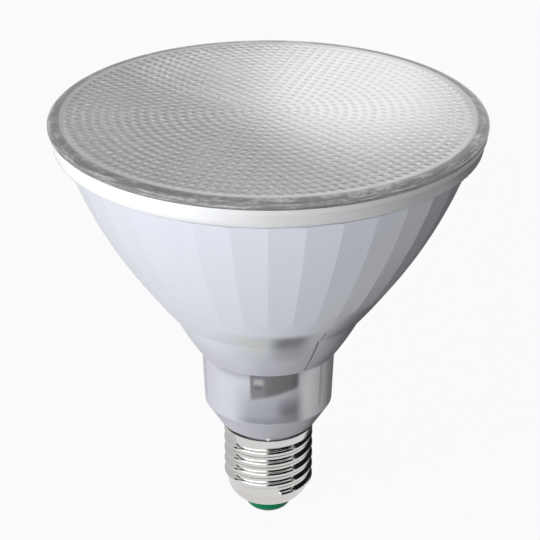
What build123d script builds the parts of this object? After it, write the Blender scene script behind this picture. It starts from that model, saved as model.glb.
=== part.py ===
from build123d import *
import os
from math import asin, cos, degrees, pi, radians, sin, sqrt, tan

os.makedirs("parts", exist_ok=True)

# Par spotlight lamp with a rolled screw cap, lens up. Millimetres, +Z from the cap to the lens.
# The origin lies on the lamp's axis, in the end face of the centre contact.
# The screw cap's thread, its plain land and the contact are the interfaces to a lamp holder.

# Fits
slide_gap = 0.3
solder_gap = 0.05
wire_gap = 0.2

# Screw cap: rolled brass shell with seven turns of thread to the inch
thread_pitch = 25.4 / 7
thread_crest_radius = 13.15
thread_root_radius = 12.13
thread_round = 1.025
thread_foot = 1.55
thread_embed = 0.18
thread_lead_in = 0.5
thread_turns = 4.04
thread_azimuth = -75
shell_wall = 0.3
shell_lip_radius = 6.9
shell_lip_rise = 0.9
shell_lip_width = 3.1
taper_height = 4.15
taper_arc_height = 0.35
thread_zone = 16.5
land_flare = 0.8
land_height = 2.2

# Insulator and centre contact
contact_face_radius = 3.2
contact_radius = 4.3
contact_edge = 0.8
contact_thickness = 1.3
eyelet_bore = 1.0
eyelet_wall = 0.75
eyelet_height = 5.3
contact_solder_height = 2.4
insulator_height = 4.35
insulator_foot_radius = 4.9
insulator_arc_height = 0.95
insulator_flange_width = 1.1
insulator_flange = 1.5

# Neck housing
cap_gap = 1.7
boss_gap = 0.33
boss_wall = 2.1
boss_length = 15.5
shoulder_overhang = 1.15
shoulder_height = 7.0
neck_top_radius = 19.35
neck_draft = 0.7
neck_height = 17.1
neck_wall = 1.8
neck_floor = 1.9
spigot_height = 3.5
spigot_wall = 1.4
spigot_root = 2.0
wire_port_height = 0.85
edge_round = 0.5

# Lower bowl
ledge_overhang = 0.85
bowl_rim_radius = 28.1
bowl_height = 13.7
bowl_arc_height = 0.35
bowl_wall = 1.7
bowl_lip = 1.6
bowl_spigot = 3.8
bowl_spigot_wall = 1.6
seam_count = 3
seam_azimuth = -60
seam_width = 0.7
seam_depth = 0.9
seam_margin = 0.9
seam_rise = 4.3
post_count = 3
post_azimuth = 30
post_radius = 2.8
post_embed = 0.4
post_length = 7.0

# Upper shell
step_overhang = 0.65
band_height = 9.4
band_radius = 35.8
band_arc_height = 0.1
facet_count = 36
facet_height = 39.9
facet_arc_height = 1.6
facet_relief = 2.2
shell_rim_radius = 56.9
housing_wall = 1.8
groove_step = 0.5
groove_height = 1.3
hook_gap = 1.1
flange_width = 1.5
flange_height = 1.8
reflector_seat = 1.7
reflector_seat_width = 1.4

# Bezel ring
bezel_wall = 2.0
bezel_lip_width = 0.35
bezel_lip_height = 1.4
bezel_hook_clearance = 0.8
bezel_hook_height = 0.9
bezel_draft = 0.6
bezel_round = 0.7

# Lens and its seal
seal_height = 0.8
lens_foot_inset = 0.05
lens_foot_height = 0.9
lens_rim_overhang = 0.4
lens_rim_width = 2.2
lens_rim_height = 2.2
lens_rim_arc_height = 0.35
lens_crown = 0.7
lens_thickness = 2.5
lens_skirt_wall = 2.0
lens_skirt = 1.7

# Reflector
reflector_foot_inset = 1.4
reflector_foot_width = 1.7
reflector_arc_height = 6.0
reflector_wall = 1.2
reflector_rim = 1.2

# Heat sink
sink_base = 2.0
sink_wall = 1.5
sink_height = 16.0
sink_gap = 0.35
pedestal_margin = 0.7
pedestal_height = 1.0
sink_screw_head_radius = 2.6
sink_screw_head_height = 1.8
sink_screw_radius = 1.4
sink_screw_reach = 5.5
sink_screw_clearance = 0.3
screw_head_round = 0.5
screw_socket_radius = 0.9
screw_socket_depth = 0.9

# Light emitter
pad_side = 20.0
pad_thickness = 0.3
emitter_side = 19.0
emitter_thickness = 1.5
phosphor_radius = 6.5
phosphor_thickness = 0.5
holder_margin = 1.3
holder_window_margin = 1.7
holder_roof = 0.7
holder_screw_wall = 2.0
holder_screw_radius = 1.2
holder_screw_head_radius = 2.1
holder_screw_head_height = 1.2
holder_screw_reach = 2.2
lead_clearance = 0.55

# Driver board and the pieces that hang below it
board_thickness = 1.6
transformer_depth = 9.0
transformer_height = 15.0
transformer_turn = 32
transformer_offset = 4.9
transformer_shift = 1.0
core_leg = 3.0
core_window = 2.2
core_yoke = 3.0
core_depth = 5.0
bobbin_block = 3.6
bobbin_flange = 0.8
bobbin_wall = 0.6
bobbin_notch = 1.3
bobbin_notch_height = 4.0
winding_round = 1.0
can_groove = 0.3
can_groove_height = 1.2
can_groove_depth = 0.15
filter_can_radius = 4.0
filter_can_height = 20.0
filter_can_azimuth = 60
choke_radius = 4.4
choke_height = 9.5
choke_flange = 1.4
choke_drum_radius = 2.4
choke_winding_radius = 4.0
choke_azimuth = 145
fuse_radius = 1.7
fuse_length = 8.5
fuse_round = 0.6
fuse_azimuth = 102
wall_clearance = 0.9

# Pieces that stand on the driver board
bulk_can_radius = 4.6
bulk_can_height = 10.2
bulk_can_azimuth = -50
bulk_can_inset = 1.0
film_length = 11.0
film_depth = 5.0
film_height = 9.0
film_round = 0.6
film_azimuth = -140
film_inset = 2.4
rectifier_length = 8.0
rectifier_depth = 6.4
rectifier_height = 2.6
rectifier_edge = 0.4
rectifier_azimuth = 20
rectifier_inset = 3.0
chip_length = 6.6
chip_depth = 4.4
chip_height = 1.7
chip_edge = 0.3
chip_x = -1.5
chip_y = 0.6
varistor_radius = 4.5
varistor_thickness = 3.2
varistor_round = 1.0
varistor_lead_radius = 0.35
varistor_lead_spacing = 5.0
varistor_stand = 1.2
varistor_azimuth = 120
varistor_inset = 2.2

# Wires
wire_radius = 0.6
wire_bend = 3.0
live_wire_turn = 26.0
live_wire_x = -2.8
live_wire_y = 9.0
live_wire_height = 40.0
neutral_wire_x = 9.5
neutral_wire_y = -9.0
neutral_wire_height = 44.0
neutral_turn_x = 3.0
neutral_turn_y = -8.0
neutral_turn_height = 36.0
neutral_port_y = -7.6
neutral_end_y = -13.0
neutral_bend = 1.4
lamp_wire_radius = 0.5
lamp_wire_spacing = 1.15
lamp_wire_run = 3.6
lamp_wire_bend = 2.0

# Heights up the axis, from the contact's end face
z_insulator = contact_thickness
z_shell_lip = z_insulator + insulator_height
z_root = z_shell_lip + shell_lip_rise + taper_height
z_land = z_root + thread_zone
z_cap_rim = z_land + land_flare + land_height
z_shoulder = z_cap_rim + cap_gap
z_neck = z_shoulder + shoulder_height
z_ledge = z_neck + neck_height
z_board = z_ledge + spigot_height
z_board_top = z_board + board_thickness
z_step = z_ledge + bowl_height
z_sink = z_step + bowl_spigot
z_sink_top = z_sink + sink_base
z_pedestal = z_sink_top + pedestal_height
z_emitter = z_pedestal + pad_thickness
z_phosphor = z_emitter + emitter_thickness
z_holder = z_phosphor + holder_roof
z_facets = z_step + band_height
z_groove = z_facets + facet_height
z_bezel = z_groove + groove_height
z_flange = z_groove + groove_height + hook_gap
z_seal = z_flange + flange_height
z_lens_skirt = z_seal + seal_height
z_lens = z_lens_skirt + lens_skirt
z_reflector_rim = z_seal - reflector_seat

# Radii that follow from the sizes above
facet_half_angle = pi / facet_count
shell_lip_end = shell_lip_radius + shell_lip_width
eyelet_radius = eyelet_bore + eyelet_wall
boss_radius = thread_root_radius - shell_wall - boss_gap
boss_bore = boss_radius - boss_wall
shoulder_radius = thread_crest_radius + shoulder_overhang
neck_foot_radius = neck_top_radius - neck_draft
bowl_foot_radius = neck_top_radius + ledge_overhang
spigot_radius = neck_top_radius - neck_wall
spigot_bore = spigot_radius - spigot_wall
bowl_lip_bore = spigot_radius + slide_gap
shell_foot_radius = bowl_rim_radius + step_overhang
shell_foot_bore = shell_foot_radius - housing_wall
bowl_spigot_radius = shell_foot_bore - slide_gap
bowl_spigot_bore = bowl_spigot_radius - bowl_spigot_wall
post_circle = bowl_spigot_bore + post_embed - post_radius
board_radius = spigot_radius
band_bore = band_radius - housing_wall
rim_wall_bore = shell_rim_radius - housing_wall
groove_radius = shell_rim_radius - groove_step
flange_radius = groove_radius + flange_width
lens_skirt_radius = flange_radius
lens_skirt_bore = lens_skirt_radius - lens_skirt_wall
bezel_hook_radius = groove_radius + bezel_hook_clearance
bezel_bore = lens_skirt_radius + slide_gap
bezel_radius = bezel_bore + bezel_wall
bezel_lip_radius = bezel_radius + bezel_lip_width
lens_foot_radius = bezel_lip_radius - lens_foot_inset
lens_rim_radius = lens_foot_radius + lens_rim_overhang
lens_face_radius = lens_rim_radius - lens_rim_width
rim_bore = groove_radius - reflector_seat_width
seat_bore = groove_radius - slide_gap
holder_window = phosphor_radius + holder_window_margin
holder_pocket = pad_side + 2 * wire_gap
holder_screw_circle = holder_pocket / 2 + holder_screw_radius + holder_screw_wall
holder_radius = holder_screw_circle + holder_screw_head_radius + holder_margin
pedestal_radius = holder_radius + pedestal_margin
reflector_foot_radius = holder_window + reflector_foot_inset
lamp_wire_offset = emitter_side / 2 + lamp_wire_run
lead_hole_length = 2 * (lamp_wire_spacing + lamp_wire_radius + lead_clearance)
lead_hole_width = 2 * (lamp_wire_radius + lead_clearance)
lead_slot_width = 2 * (lamp_wire_spacing + lamp_wire_radius + solder_gap)


def radius_at(radius_low, z_low, radius_high, z_high, bulge, z):
    """Radius at height z on the arc that bulges outwards from its chord between two points."""
    chord_r = radius_high - radius_low
    chord_z = z_high - z_low
    half = sqrt(chord_r**2 + chord_z**2) / 2
    arc_radius = (half**2 + bulge**2) / (2 * bulge)
    set_back = arc_radius - bulge
    centre_r = (radius_low + radius_high) / 2 - set_back * chord_z / (2 * half)
    centre_z = (z_low + z_high) / 2 + set_back * chord_r / (2 * half)
    return centre_r + sqrt(arc_radius**2 - (z - centre_z) ** 2)


def turned(*points):
    """Ring turned about the lamp's axis from an outline of radius and height."""
    with BuildSketch(Plane.XZ) as section:
        with BuildLine():
            Polyline(*points, close=True)
        make_face()
    return revolve(section.sketch, axis=Axis.Z, mode=Mode.PRIVATE)


def can(radius, length):
    """Upright capacitor can from z 0 up, with the rolled groove near its seal."""
    with BuildPart() as body:
        Cylinder(radius, length, align=(Align.CENTER, Align.CENTER, Align.MIN))
        fillet(body.edges().group_by(Axis.Z)[-1], can_groove)
        with Locations((0, 0, can_groove_height)):
            Torus(radius + can_groove - can_groove_depth, can_groove, mode=Mode.SUBTRACT)
    return body.part


def save(piece, node):
    """Name a finished piece and write it out."""
    piece.part.label = node
    export_step(piece.part, f"parts/{node}.step")


# Screw shell: a drawn cup with its thread rolled outwards and a hole for the insulator
thread_path = (
    Pos(0, 0, z_root + thread_lead_in)
    * Rot(0, 0, thread_azimuth)
    * Helix(pitch=thread_pitch, height=thread_pitch * thread_turns, radius=thread_root_radius)
)
thread_plane = Plane(
    origin=thread_path @ 0,
    x_dir=(cos(radians(thread_azimuth)), sin(radians(thread_azimuth)), 0),
    z_dir=thread_path % 0,
)
thread_height = thread_crest_radius - thread_root_radius
flank_out = thread_height / 2
flank_side = sqrt(thread_round**2 - (thread_round - flank_out) ** 2)
foot_out = thread_round - sqrt(thread_round**2 - (2 * flank_side - thread_foot) ** 2)
with BuildPart() as screw_shell:
    with BuildSketch(Plane.XZ):
        with BuildLine():
            Polyline((0, z_shell_lip), (shell_lip_radius, z_shell_lip),
                     (shell_lip_end, z_shell_lip + shell_lip_rise))
            SagittaArc((shell_lip_end, z_shell_lip + shell_lip_rise),
                       (thread_root_radius, z_root), -taper_arc_height)
            Polyline((thread_root_radius, z_root), (thread_root_radius, z_land),
                     (thread_crest_radius, z_land + land_flare),
                     (thread_crest_radius, z_cap_rim), (0, z_cap_rim), (0, z_shell_lip))
        make_face()
    revolve(axis=Axis.Z)
    offset(amount=-shell_wall, openings=screw_shell.faces().sort_by(Axis.Z)[-1])
    with Locations((0, 0, z_shell_lip)):
        Cylinder(shell_lip_radius, 2 * shell_wall, mode=Mode.SUBTRACT)
    with BuildSketch(thread_plane) as thread_section:
        with BuildLine():
            Polyline((foot_out, -thread_foot), (-thread_embed, -thread_foot),
                     (-thread_embed, thread_foot), (foot_out, thread_foot))
            RadiusArc((foot_out, thread_foot), (flank_out, flank_side), thread_round)
            ThreePointArc((flank_out, flank_side), (thread_height, 0), (flank_out, -flank_side))
            RadiusArc((flank_out, -flank_side), (foot_out, -thread_foot), thread_round)
        make_face()
    sweep(sections=thread_section.sketch, path=thread_path, is_frenet=True)
save(screw_shell, "screw_shell")

# Centre contact: a plate with a hollow eyelet up through the insulator
with BuildPart() as centre_contact:
    add(turned(
        (eyelet_bore, 0),
        (contact_face_radius, 0),
        (contact_radius, contact_edge),
        (contact_radius, contact_thickness),
        (eyelet_radius, contact_thickness),
        (eyelet_radius, contact_thickness + eyelet_height),
        (eyelet_bore, contact_thickness + eyelet_height),
    ))
save(centre_contact, "centre_contact")

# Solder that fills the foot of the eyelet, flush with the contact's face
with BuildPart() as contact_solder:
    Cylinder(eyelet_bore - solder_gap, contact_solder_height,
             align=(Align.CENTER, Align.CENTER, Align.MIN))
save(contact_solder, "contact_solder")

# Insulator: domed below the shell's lip, with a flange that holds it inside the shell
lip_slope = shell_lip_rise / shell_lip_width
z_insulator_flange = z_shell_lip + lip_slope * insulator_flange_width + shell_wall + solder_gap
with BuildPart() as cap_insulator:
    with BuildSketch(Plane.XZ):
        with BuildLine():
            SagittaArc((insulator_foot_radius, z_insulator),
                       (shell_lip_radius - solder_gap, z_shell_lip), -insulator_arc_height)
            Polyline((shell_lip_radius - solder_gap, z_shell_lip),
                     (shell_lip_radius - solder_gap, z_insulator_flange),
                     (shell_lip_radius + insulator_flange_width, z_insulator_flange),
                     (shell_lip_radius + insulator_flange_width, z_insulator_flange + insulator_flange),
                     (eyelet_radius + solder_gap, z_insulator_flange + insulator_flange),
                     (eyelet_radius + solder_gap, z_insulator),
                     (insulator_foot_radius, z_insulator))
        make_face()
    revolve(axis=Axis.Z)
save(cap_insulator, "cap_insulator")

# Neck housing: boss inside the screw shell, cone, neck and the spigot that carries the board
neck_bore = neck_foot_radius - neck_wall
spigot_root_bore = neck_top_radius - neck_wall
with BuildPart() as neck_housing:
    add(turned(
        (boss_bore, z_shoulder - boss_length),
        (boss_radius, z_shoulder - boss_length),
        (boss_radius, z_shoulder),
        (shoulder_radius, z_shoulder),
        (neck_foot_radius, z_neck),
        (neck_top_radius, z_ledge),
        (spigot_radius, z_ledge),
        (spigot_radius, z_board),
        (spigot_bore, z_board),
        (spigot_bore, z_ledge - spigot_root),
        (spigot_root_bore, z_ledge - 2 * spigot_root),
        (neck_bore, z_neck),
        (boss_bore, z_shoulder + neck_floor),
    ))
    shoulder_edges = neck_housing.edges().filter_by(GeomType.CIRCLE).filter_by_position(
        Axis.Z, z_shoulder, z_shoulder)
    fillet(shoulder_edges.sort_by(SortBy.RADIUS)[-1], edge_round)
    with Locations(Location((0, -(boss_bore + boss_radius) / 2, z_cap_rim + wire_port_height), (90, 0, 0))):
        Cylinder(wire_radius + wire_gap, boss_radius - boss_bore + 2 * wire_gap, mode=Mode.SUBTRACT)
save(neck_housing, "neck_housing")

# Lower bowl: seats on the neck and carries the heat sink. Three seam grooves run on into the upper shell
bowl_lip_radius = radius_at(bowl_foot_radius, z_ledge, bowl_rim_radius, z_step, bowl_arc_height,
                             z_ledge + bowl_lip)
seam_foot = z_ledge + seam_margin
seam_top = z_step + seam_rise
seam_foot_radius = radius_at(bowl_foot_radius, z_ledge, bowl_rim_radius, z_step, bowl_arc_height, seam_foot)
seam_step_radius = (bowl_rim_radius + shell_foot_radius) / 2
seam_top_radius = radius_at(shell_foot_radius, z_step, band_radius, z_facets, band_arc_height, seam_top)
with BuildSketch(Plane.XZ) as seam_outline:
    with BuildLine():
        Polyline((seam_foot_radius - seam_depth, seam_foot), (seam_step_radius - seam_depth, z_step),
                 (seam_top_radius - seam_depth, seam_top), (seam_top_radius + seam_depth, seam_top),
                 (seam_step_radius + seam_depth, z_step), (seam_foot_radius + seam_depth, seam_foot),
                 close=True)
    make_face()
seam_cutter = extrude(seam_outline.sketch, amount=seam_width / 2, both=True)
with BuildPart() as lower_bowl:
    with BuildSketch(Plane.XZ):
        with BuildLine():
            SagittaArc((bowl_foot_radius, z_ledge), (bowl_rim_radius, z_step), -bowl_arc_height)
            Polyline((bowl_rim_radius, z_step), (bowl_spigot_radius, z_step),
                     (bowl_spigot_radius, z_sink), (bowl_spigot_bore, z_sink),
                     (bowl_spigot_bore, z_step - bowl_wall))
            SagittaArc((bowl_spigot_bore, z_step - bowl_wall),
                       (bowl_lip_radius - bowl_wall, z_ledge + bowl_lip), bowl_arc_height)
            Polyline((bowl_lip_radius - bowl_wall, z_ledge + bowl_lip),
                     (bowl_lip_bore, z_ledge + bowl_lip), (bowl_lip_bore, z_ledge),
                     (bowl_foot_radius, z_ledge))
        make_face()
    revolve(axis=Axis.Z)
    with Locations((0, 0, z_sink)):
        with PolarLocations(post_circle, post_count, start_angle=post_azimuth):
            Cylinder(post_radius, post_length, align=(Align.CENTER, Align.CENTER, Align.MAX))
            Cylinder(sink_screw_radius + solder_gap, sink_screw_reach + solder_gap,
                     align=(Align.CENTER, Align.CENTER, Align.MAX), mode=Mode.SUBTRACT)
    with PolarLocations(0, seam_count, start_angle=seam_azimuth):
        add(seam_cutter, mode=Mode.SUBTRACT)
save(lower_bowl, "lower_bowl")

# Upper shell: a plain band above the step, then flat facets up to the groove under the bezel
facet_foot = (band_radius, z_facets)
facet_head = (shell_rim_radius * cos(facet_half_angle), z_groove)
facet_blank_radius = shell_rim_radius + facet_relief
facet_reach = facet_blank_radius + facet_relief
facet_cutter_half = facet_reach * tan(facet_half_angle) + facet_relief
with BuildSketch(Plane.XZ) as facet_outline:
    with BuildLine():
        SagittaArc(facet_foot, facet_head, -facet_arc_height)
        Polyline(facet_head, (facet_reach, z_groove), (facet_reach, z_facets), facet_foot)
    make_face()
facet_cutter = extrude(facet_outline.sketch, amount=facet_cutter_half, both=True)
with BuildPart() as upper_shell:
    with BuildSketch(Plane.XZ):
        with BuildLine():
            SagittaArc((shell_foot_radius, z_step), (band_radius, z_facets), -band_arc_height)
            SagittaArc((band_radius, z_facets), (facet_blank_radius, z_groove), -facet_arc_height)
            Polyline((facet_blank_radius, z_groove), (groove_radius, z_groove),
                     (groove_radius, z_flange), (flange_radius, z_flange), (flange_radius, z_seal),
                     (groove_radius, z_seal), (groove_radius, z_reflector_rim),
                     (rim_bore, z_reflector_rim), (rim_bore, z_groove), (rim_wall_bore, z_groove))
            SagittaArc((rim_wall_bore, z_groove), (band_bore, z_facets), facet_arc_height)
            SagittaArc((band_bore, z_facets), (shell_foot_bore, z_step), band_arc_height)
            Line((shell_foot_bore, z_step), (shell_foot_radius, z_step))
        make_face()
    revolve(axis=Axis.Z)
    with PolarLocations(0, facet_count, start_angle=360 / facet_count / 2 - 90):
        add(facet_cutter, mode=Mode.SUBTRACT)
    with PolarLocations(0, seam_count, start_angle=seam_azimuth):
        add(seam_cutter, mode=Mode.SUBTRACT)
save(upper_shell, "upper_shell")

# Bezel ring: hooks under the shell's flange and carries the lens on its top edge
with BuildPart() as bezel_ring:
    add(turned(
        (bezel_hook_radius, z_bezel),
        (bezel_radius - bezel_draft, z_bezel),
        (bezel_radius, z_lens - bezel_lip_height),
        (bezel_lip_radius, z_lens - bezel_lip_height),
        (bezel_lip_radius, z_lens),
        (bezel_bore, z_lens),
        (bezel_bore, z_bezel + bezel_hook_height),
        (bezel_hook_radius, z_bezel + bezel_hook_height),
    ))
    fillet(bezel_ring.edges().group_by(Axis.Z)[0].sort_by(SortBy.RADIUS)[-1], bezel_round)
save(bezel_ring, "bezel_ring")

# Seal between the shell's flange and the lens skirt
with BuildPart() as lens_seal:
    add(turned(
        (groove_radius + solder_gap, z_seal),
        (flange_radius, z_seal),
        (flange_radius, z_lens_skirt),
        (groove_radius + solder_gap, z_lens_skirt),
    ))
save(lens_seal, "lens_seal")

# Lens: slightly domed face, rolled rim that overhangs the bezel, skirt down to the seal
z_lens_face = z_lens + lens_rim_height
z_lens_back = z_lens_face + lens_crown - lens_thickness
lens_face_sphere = (lens_face_radius**2 + lens_crown**2) / (2 * lens_crown)
lens_face_angle = degrees(asin(lens_face_radius / lens_face_sphere))
z_lens_centre = z_lens_face + lens_crown - lens_face_sphere
with BuildPart() as lens:
    with BuildSketch(Plane.XZ):
        with BuildLine():
            Polyline((0, z_lens_face + lens_crown), (0, z_lens_back), (lens_skirt_bore, z_lens_back),
                     (lens_skirt_bore, z_lens_skirt), (lens_skirt_radius, z_lens_skirt),
                     (lens_skirt_radius, z_lens), (lens_foot_radius, z_lens),
                     (lens_rim_radius, z_lens + lens_foot_height))
            SagittaArc((lens_rim_radius, z_lens + lens_foot_height), (lens_face_radius, z_lens_face),
                       -lens_rim_arc_height)
            CenterArc((0, z_lens_centre), lens_face_sphere, 90 - lens_face_angle, lens_face_angle)
        make_face()
    revolve(axis=Axis.Z)
save(lens, "lens")

# Reflector: curved bright bowl from the emitter holder up to its seat under the lens
reflector_rim_radius = rim_bore - slide_gap
reflector_mouth = reflector_rim_radius - reflector_wall
with BuildPart() as reflector:
    with BuildSketch(Plane.XZ):
        with BuildLine():
            SagittaArc((reflector_foot_radius, z_holder), (reflector_mouth, z_reflector_rim),
                       -reflector_arc_height)
            Polyline((reflector_mouth, z_reflector_rim), (reflector_mouth, z_reflector_rim + reflector_rim),
                     (seat_bore, z_reflector_rim + reflector_rim), (seat_bore, z_reflector_rim),
                     (reflector_rim_radius, z_reflector_rim))
            SagittaArc((reflector_rim_radius, z_reflector_rim),
                       (reflector_foot_radius + reflector_foot_width, z_holder), reflector_arc_height)
            Line((reflector_foot_radius + reflector_foot_width, z_holder), (reflector_foot_radius, z_holder))
        make_face()
    revolve(axis=Axis.Z)
save(reflector, "reflector")

# Heat sink: drawn aluminium cup on the bowl's rim, with a pedestal for the emitter
z_sink_rim = z_sink + sink_height
shell_bore_at_sink = radius_at(shell_foot_bore, z_step, band_bore, z_facets, band_arc_height, z_sink)
shell_bore_at_rim = radius_at(band_bore, z_facets, rim_wall_bore, z_groove, facet_arc_height, z_sink_rim)
sink_foot_radius = shell_bore_at_sink - sink_gap
sink_knee_radius = band_bore - sink_gap
sink_rim_radius = shell_bore_at_rim - sink_gap
with BuildPart() as heat_sink:
    add(turned(
        (0, z_sink),
        (sink_foot_radius, z_sink),
        (sink_knee_radius, z_facets),
        (sink_rim_radius, z_sink_rim),
        (sink_rim_radius - sink_wall, z_sink_rim),
        (sink_knee_radius - sink_wall, z_facets),
        (sink_foot_radius - sink_wall, z_sink_top),
        (pedestal_radius, z_sink_top),
        (pedestal_radius, z_pedestal),
        (0, z_pedestal),
    ))
    with Locations((0, 0, z_sink_top)):
        with PolarLocations(post_circle, post_count, start_angle=post_azimuth):
            Cylinder(sink_screw_radius + sink_screw_clearance, 2 * sink_base, mode=Mode.SUBTRACT)
    with Locations((0, 0, z_pedestal)):
        with PolarLocations(holder_screw_circle, 2):
            Cylinder(holder_screw_radius + solder_gap, holder_screw_reach + solder_gap,
                     align=(Align.CENTER, Align.CENTER, Align.MAX), mode=Mode.SUBTRACT)
    with BuildSketch(Plane.XY.offset(z_sink)):
        with Locations((0, lamp_wire_offset)):
            SlotOverall(lead_hole_length, lead_hole_width)
    extrude(amount=sink_base + pedestal_height, mode=Mode.SUBTRACT)
save(heat_sink, "heat_sink")


def screw(head_radius, head_height, shank_radius, reach):
    """Pan head screw, its head standing on z 0 and its shank reaching down."""
    with BuildPart() as fastener:
        Cylinder(head_radius, head_height, align=(Align.CENTER, Align.CENTER, Align.MIN))
        fillet(fastener.edges().group_by(Axis.Z)[-1], screw_head_round)
        Cylinder(shank_radius, reach, align=(Align.CENTER, Align.CENTER, Align.MAX))
        with BuildSketch(Plane.XY.offset(head_height)):
            RegularPolygon(screw_socket_radius, 6)
        extrude(amount=-screw_socket_depth, mode=Mode.SUBTRACT)
    return fastener.part


# Screws that hold the heat sink to the bowl's posts
sink_screw = screw(sink_screw_head_radius, sink_screw_head_height, sink_screw_radius,
                   sink_base + sink_screw_reach)
with BuildPart() as heat_sink_screws:
    with Locations((0, 0, z_sink_top)):
        with PolarLocations(post_circle, post_count, start_angle=post_azimuth):
            add(sink_screw)
save(heat_sink_screws, "heat_sink_screws")

# Thermal pad under the emitter
with BuildPart() as thermal_pad:
    with Locations((0, 0, z_pedestal)):
        Box(pad_side, pad_side, pad_thickness, align=(Align.CENTER, Align.CENTER, Align.MIN))
save(thermal_pad, "thermal_pad")

# Emitter plate
with BuildPart() as emitter_plate:
    with Locations((0, 0, z_emitter)):
        Box(emitter_side, emitter_side, emitter_thickness,
            align=(Align.CENTER, Align.CENTER, Align.MIN))
save(emitter_plate, "emitter_plate")

# Phosphor disc on the emitter
with BuildPart() as phosphor_disc:
    with Locations((0, 0, z_phosphor)):
        Cylinder(phosphor_radius, phosphor_thickness, align=(Align.CENTER, Align.CENTER, Align.MIN))
    fillet(phosphor_disc.edges().group_by(Axis.Z)[-1], phosphor_thickness / 2)
save(phosphor_disc, "phosphor_disc")

# Holder: clamps the emitter to the pedestal and seats the reflector's foot
with BuildPart() as emitter_holder:
    with Locations((0, 0, z_pedestal)):
        Cylinder(holder_radius, z_holder - z_pedestal, align=(Align.CENTER, Align.CENTER, Align.MIN))
        Box(holder_pocket, holder_pocket, z_phosphor - z_pedestal,
            align=(Align.CENTER, Align.CENTER, Align.MIN), mode=Mode.SUBTRACT)
        Cylinder(holder_window, 2 * (z_holder - z_pedestal), mode=Mode.SUBTRACT)
        Box(lead_slot_width, 2 * holder_radius, z_phosphor - z_pedestal,
            align=(Align.CENTER, Align.MIN, Align.MIN), mode=Mode.SUBTRACT)
    with Locations((0, 0, z_holder - holder_screw_head_height)):
        with PolarLocations(holder_screw_circle, 2):
            Cylinder(holder_screw_head_radius + solder_gap, holder_screw_head_height,
                     align=(Align.CENTER, Align.CENTER, Align.MIN), mode=Mode.SUBTRACT)
            Cylinder(holder_screw_radius + wire_gap, 2 * (z_holder - z_pedestal), mode=Mode.SUBTRACT)
save(emitter_holder, "emitter_holder")

# Screws of the holder, sunk flush under the reflector
holder_screw = screw(holder_screw_head_radius, holder_screw_head_height, holder_screw_radius,
                     z_holder - holder_screw_head_height - z_pedestal + holder_screw_reach)
with BuildPart() as holder_screws:
    with Locations((0, 0, z_holder - holder_screw_head_height)):
        with PolarLocations(holder_screw_circle, 2):
            add(holder_screw)
save(holder_screws, "holder_screws")

# Driver board: a disc that rests on the neck's spigot
with BuildPart() as driver_board:
    with Locations((0, 0, z_board)):
        Cylinder(board_radius, board_thickness, align=(Align.CENTER, Align.CENTER, Align.MIN))
save(driver_board, "driver_board")

# Transformer under the board: ferrite core with two windows around its middle leg
core_length = 2 * (core_leg + core_window)
window_height = transformer_height - 2 * core_yoke
window_offset = (core_leg + core_window) / 2
board_turn = Location((0, 0, z_board), (0, 0, transformer_turn))
core_middle = board_turn * Location(
    (bobbin_block / 2 - transformer_shift, -transformer_offset, -transformer_height / 2))
with BuildPart() as transformer_core:
    with Locations(core_middle):
        Box(core_length, core_depth, transformer_height)
        with Locations((window_offset, 0), (-window_offset, 0)):
            Box(core_window, core_depth, window_height, mode=Mode.SUBTRACT)
save(transformer_core, "transformer_core")

# Bobbin: spool on the middle leg, its flanges reaching around one side leg to the pin block
coil_half = core_leg / 2 + core_window - solder_gap
spool_height = window_height - 2 * solder_gap
flange_reach = coil_half + core_length / 2 + bobbin_block
leg_room = 2 * solder_gap
notch_middle = bobbin_notch_height - transformer_height / 2
with BuildPart() as transformer_bobbin:
    with Locations(core_middle):
        with Locations((coil_half, 0, (spool_height - bobbin_flange) / 2),
                       (coil_half, 0, -(spool_height - bobbin_flange) / 2)):
            Box(flange_reach, transformer_depth, bobbin_flange,
                align=(Align.MAX, Align.CENTER, Align.CENTER))
        Box(core_leg + 2 * bobbin_wall, core_depth + 2 * bobbin_wall, spool_height)
        Box(core_leg + leg_room, core_depth + leg_room, window_height, mode=Mode.SUBTRACT)
        with Locations(((core_leg / 2 - core_length) / 2, 0)):
            Box(core_leg / 2 + leg_room, core_depth + leg_room, window_height, mode=Mode.SUBTRACT)
        with Locations((-core_length / 2 - solder_gap, 0)):
            Box(bobbin_block - solder_gap, transformer_depth, transformer_height,
                align=(Align.MAX, Align.CENTER, Align.CENTER))
        with Locations((-core_length / 2, -transformer_depth / 2, notch_middle)):
            Box(2 * bobbin_block, 2 * bobbin_notch, bobbin_notch, mode=Mode.SUBTRACT)
save(transformer_bobbin, "transformer_bobbin")

# Taped winding between the bobbin's flanges
winding_height = spool_height - 2 * bobbin_flange
winding_depth = transformer_depth - 2 * wire_gap
with BuildPart() as transformer_winding:
    with Locations(core_middle):
        Box(2 * coil_half, winding_depth, winding_height)
        fillet(transformer_winding.edges().filter_by(Axis.Z), winding_round)
        Box(core_leg + 2 * bobbin_wall, core_depth + 2 * bobbin_wall, winding_height, mode=Mode.SUBTRACT)
save(transformer_winding, "transformer_winding")



def beside_wall(azimuth, reach):
    """Place on the board's underside, a clearance inside the spigot's bore."""
    distance = spigot_bore - wall_clearance - reach
    return Location((distance * cos(radians(azimuth)), distance * sin(radians(azimuth)), z_board))


def board_place(azimuth, reach, inset):
    """Place on top of the board, an inset inside its edge, turned to face outwards."""
    return (Location((0, 0, z_board_top), (0, 0, azimuth))
            * Location((board_radius - inset - reach, 0, 0)))


# Filter capacitor that hangs behind the transformer
with BuildPart() as filter_capacitor:
    with Locations(beside_wall(filter_can_azimuth, filter_can_radius) * Location((0, 0, 0), (180, 0, 0))):
        add(can(filter_can_radius, filter_can_height))
save(filter_capacitor, "filter_capacitor")

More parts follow.
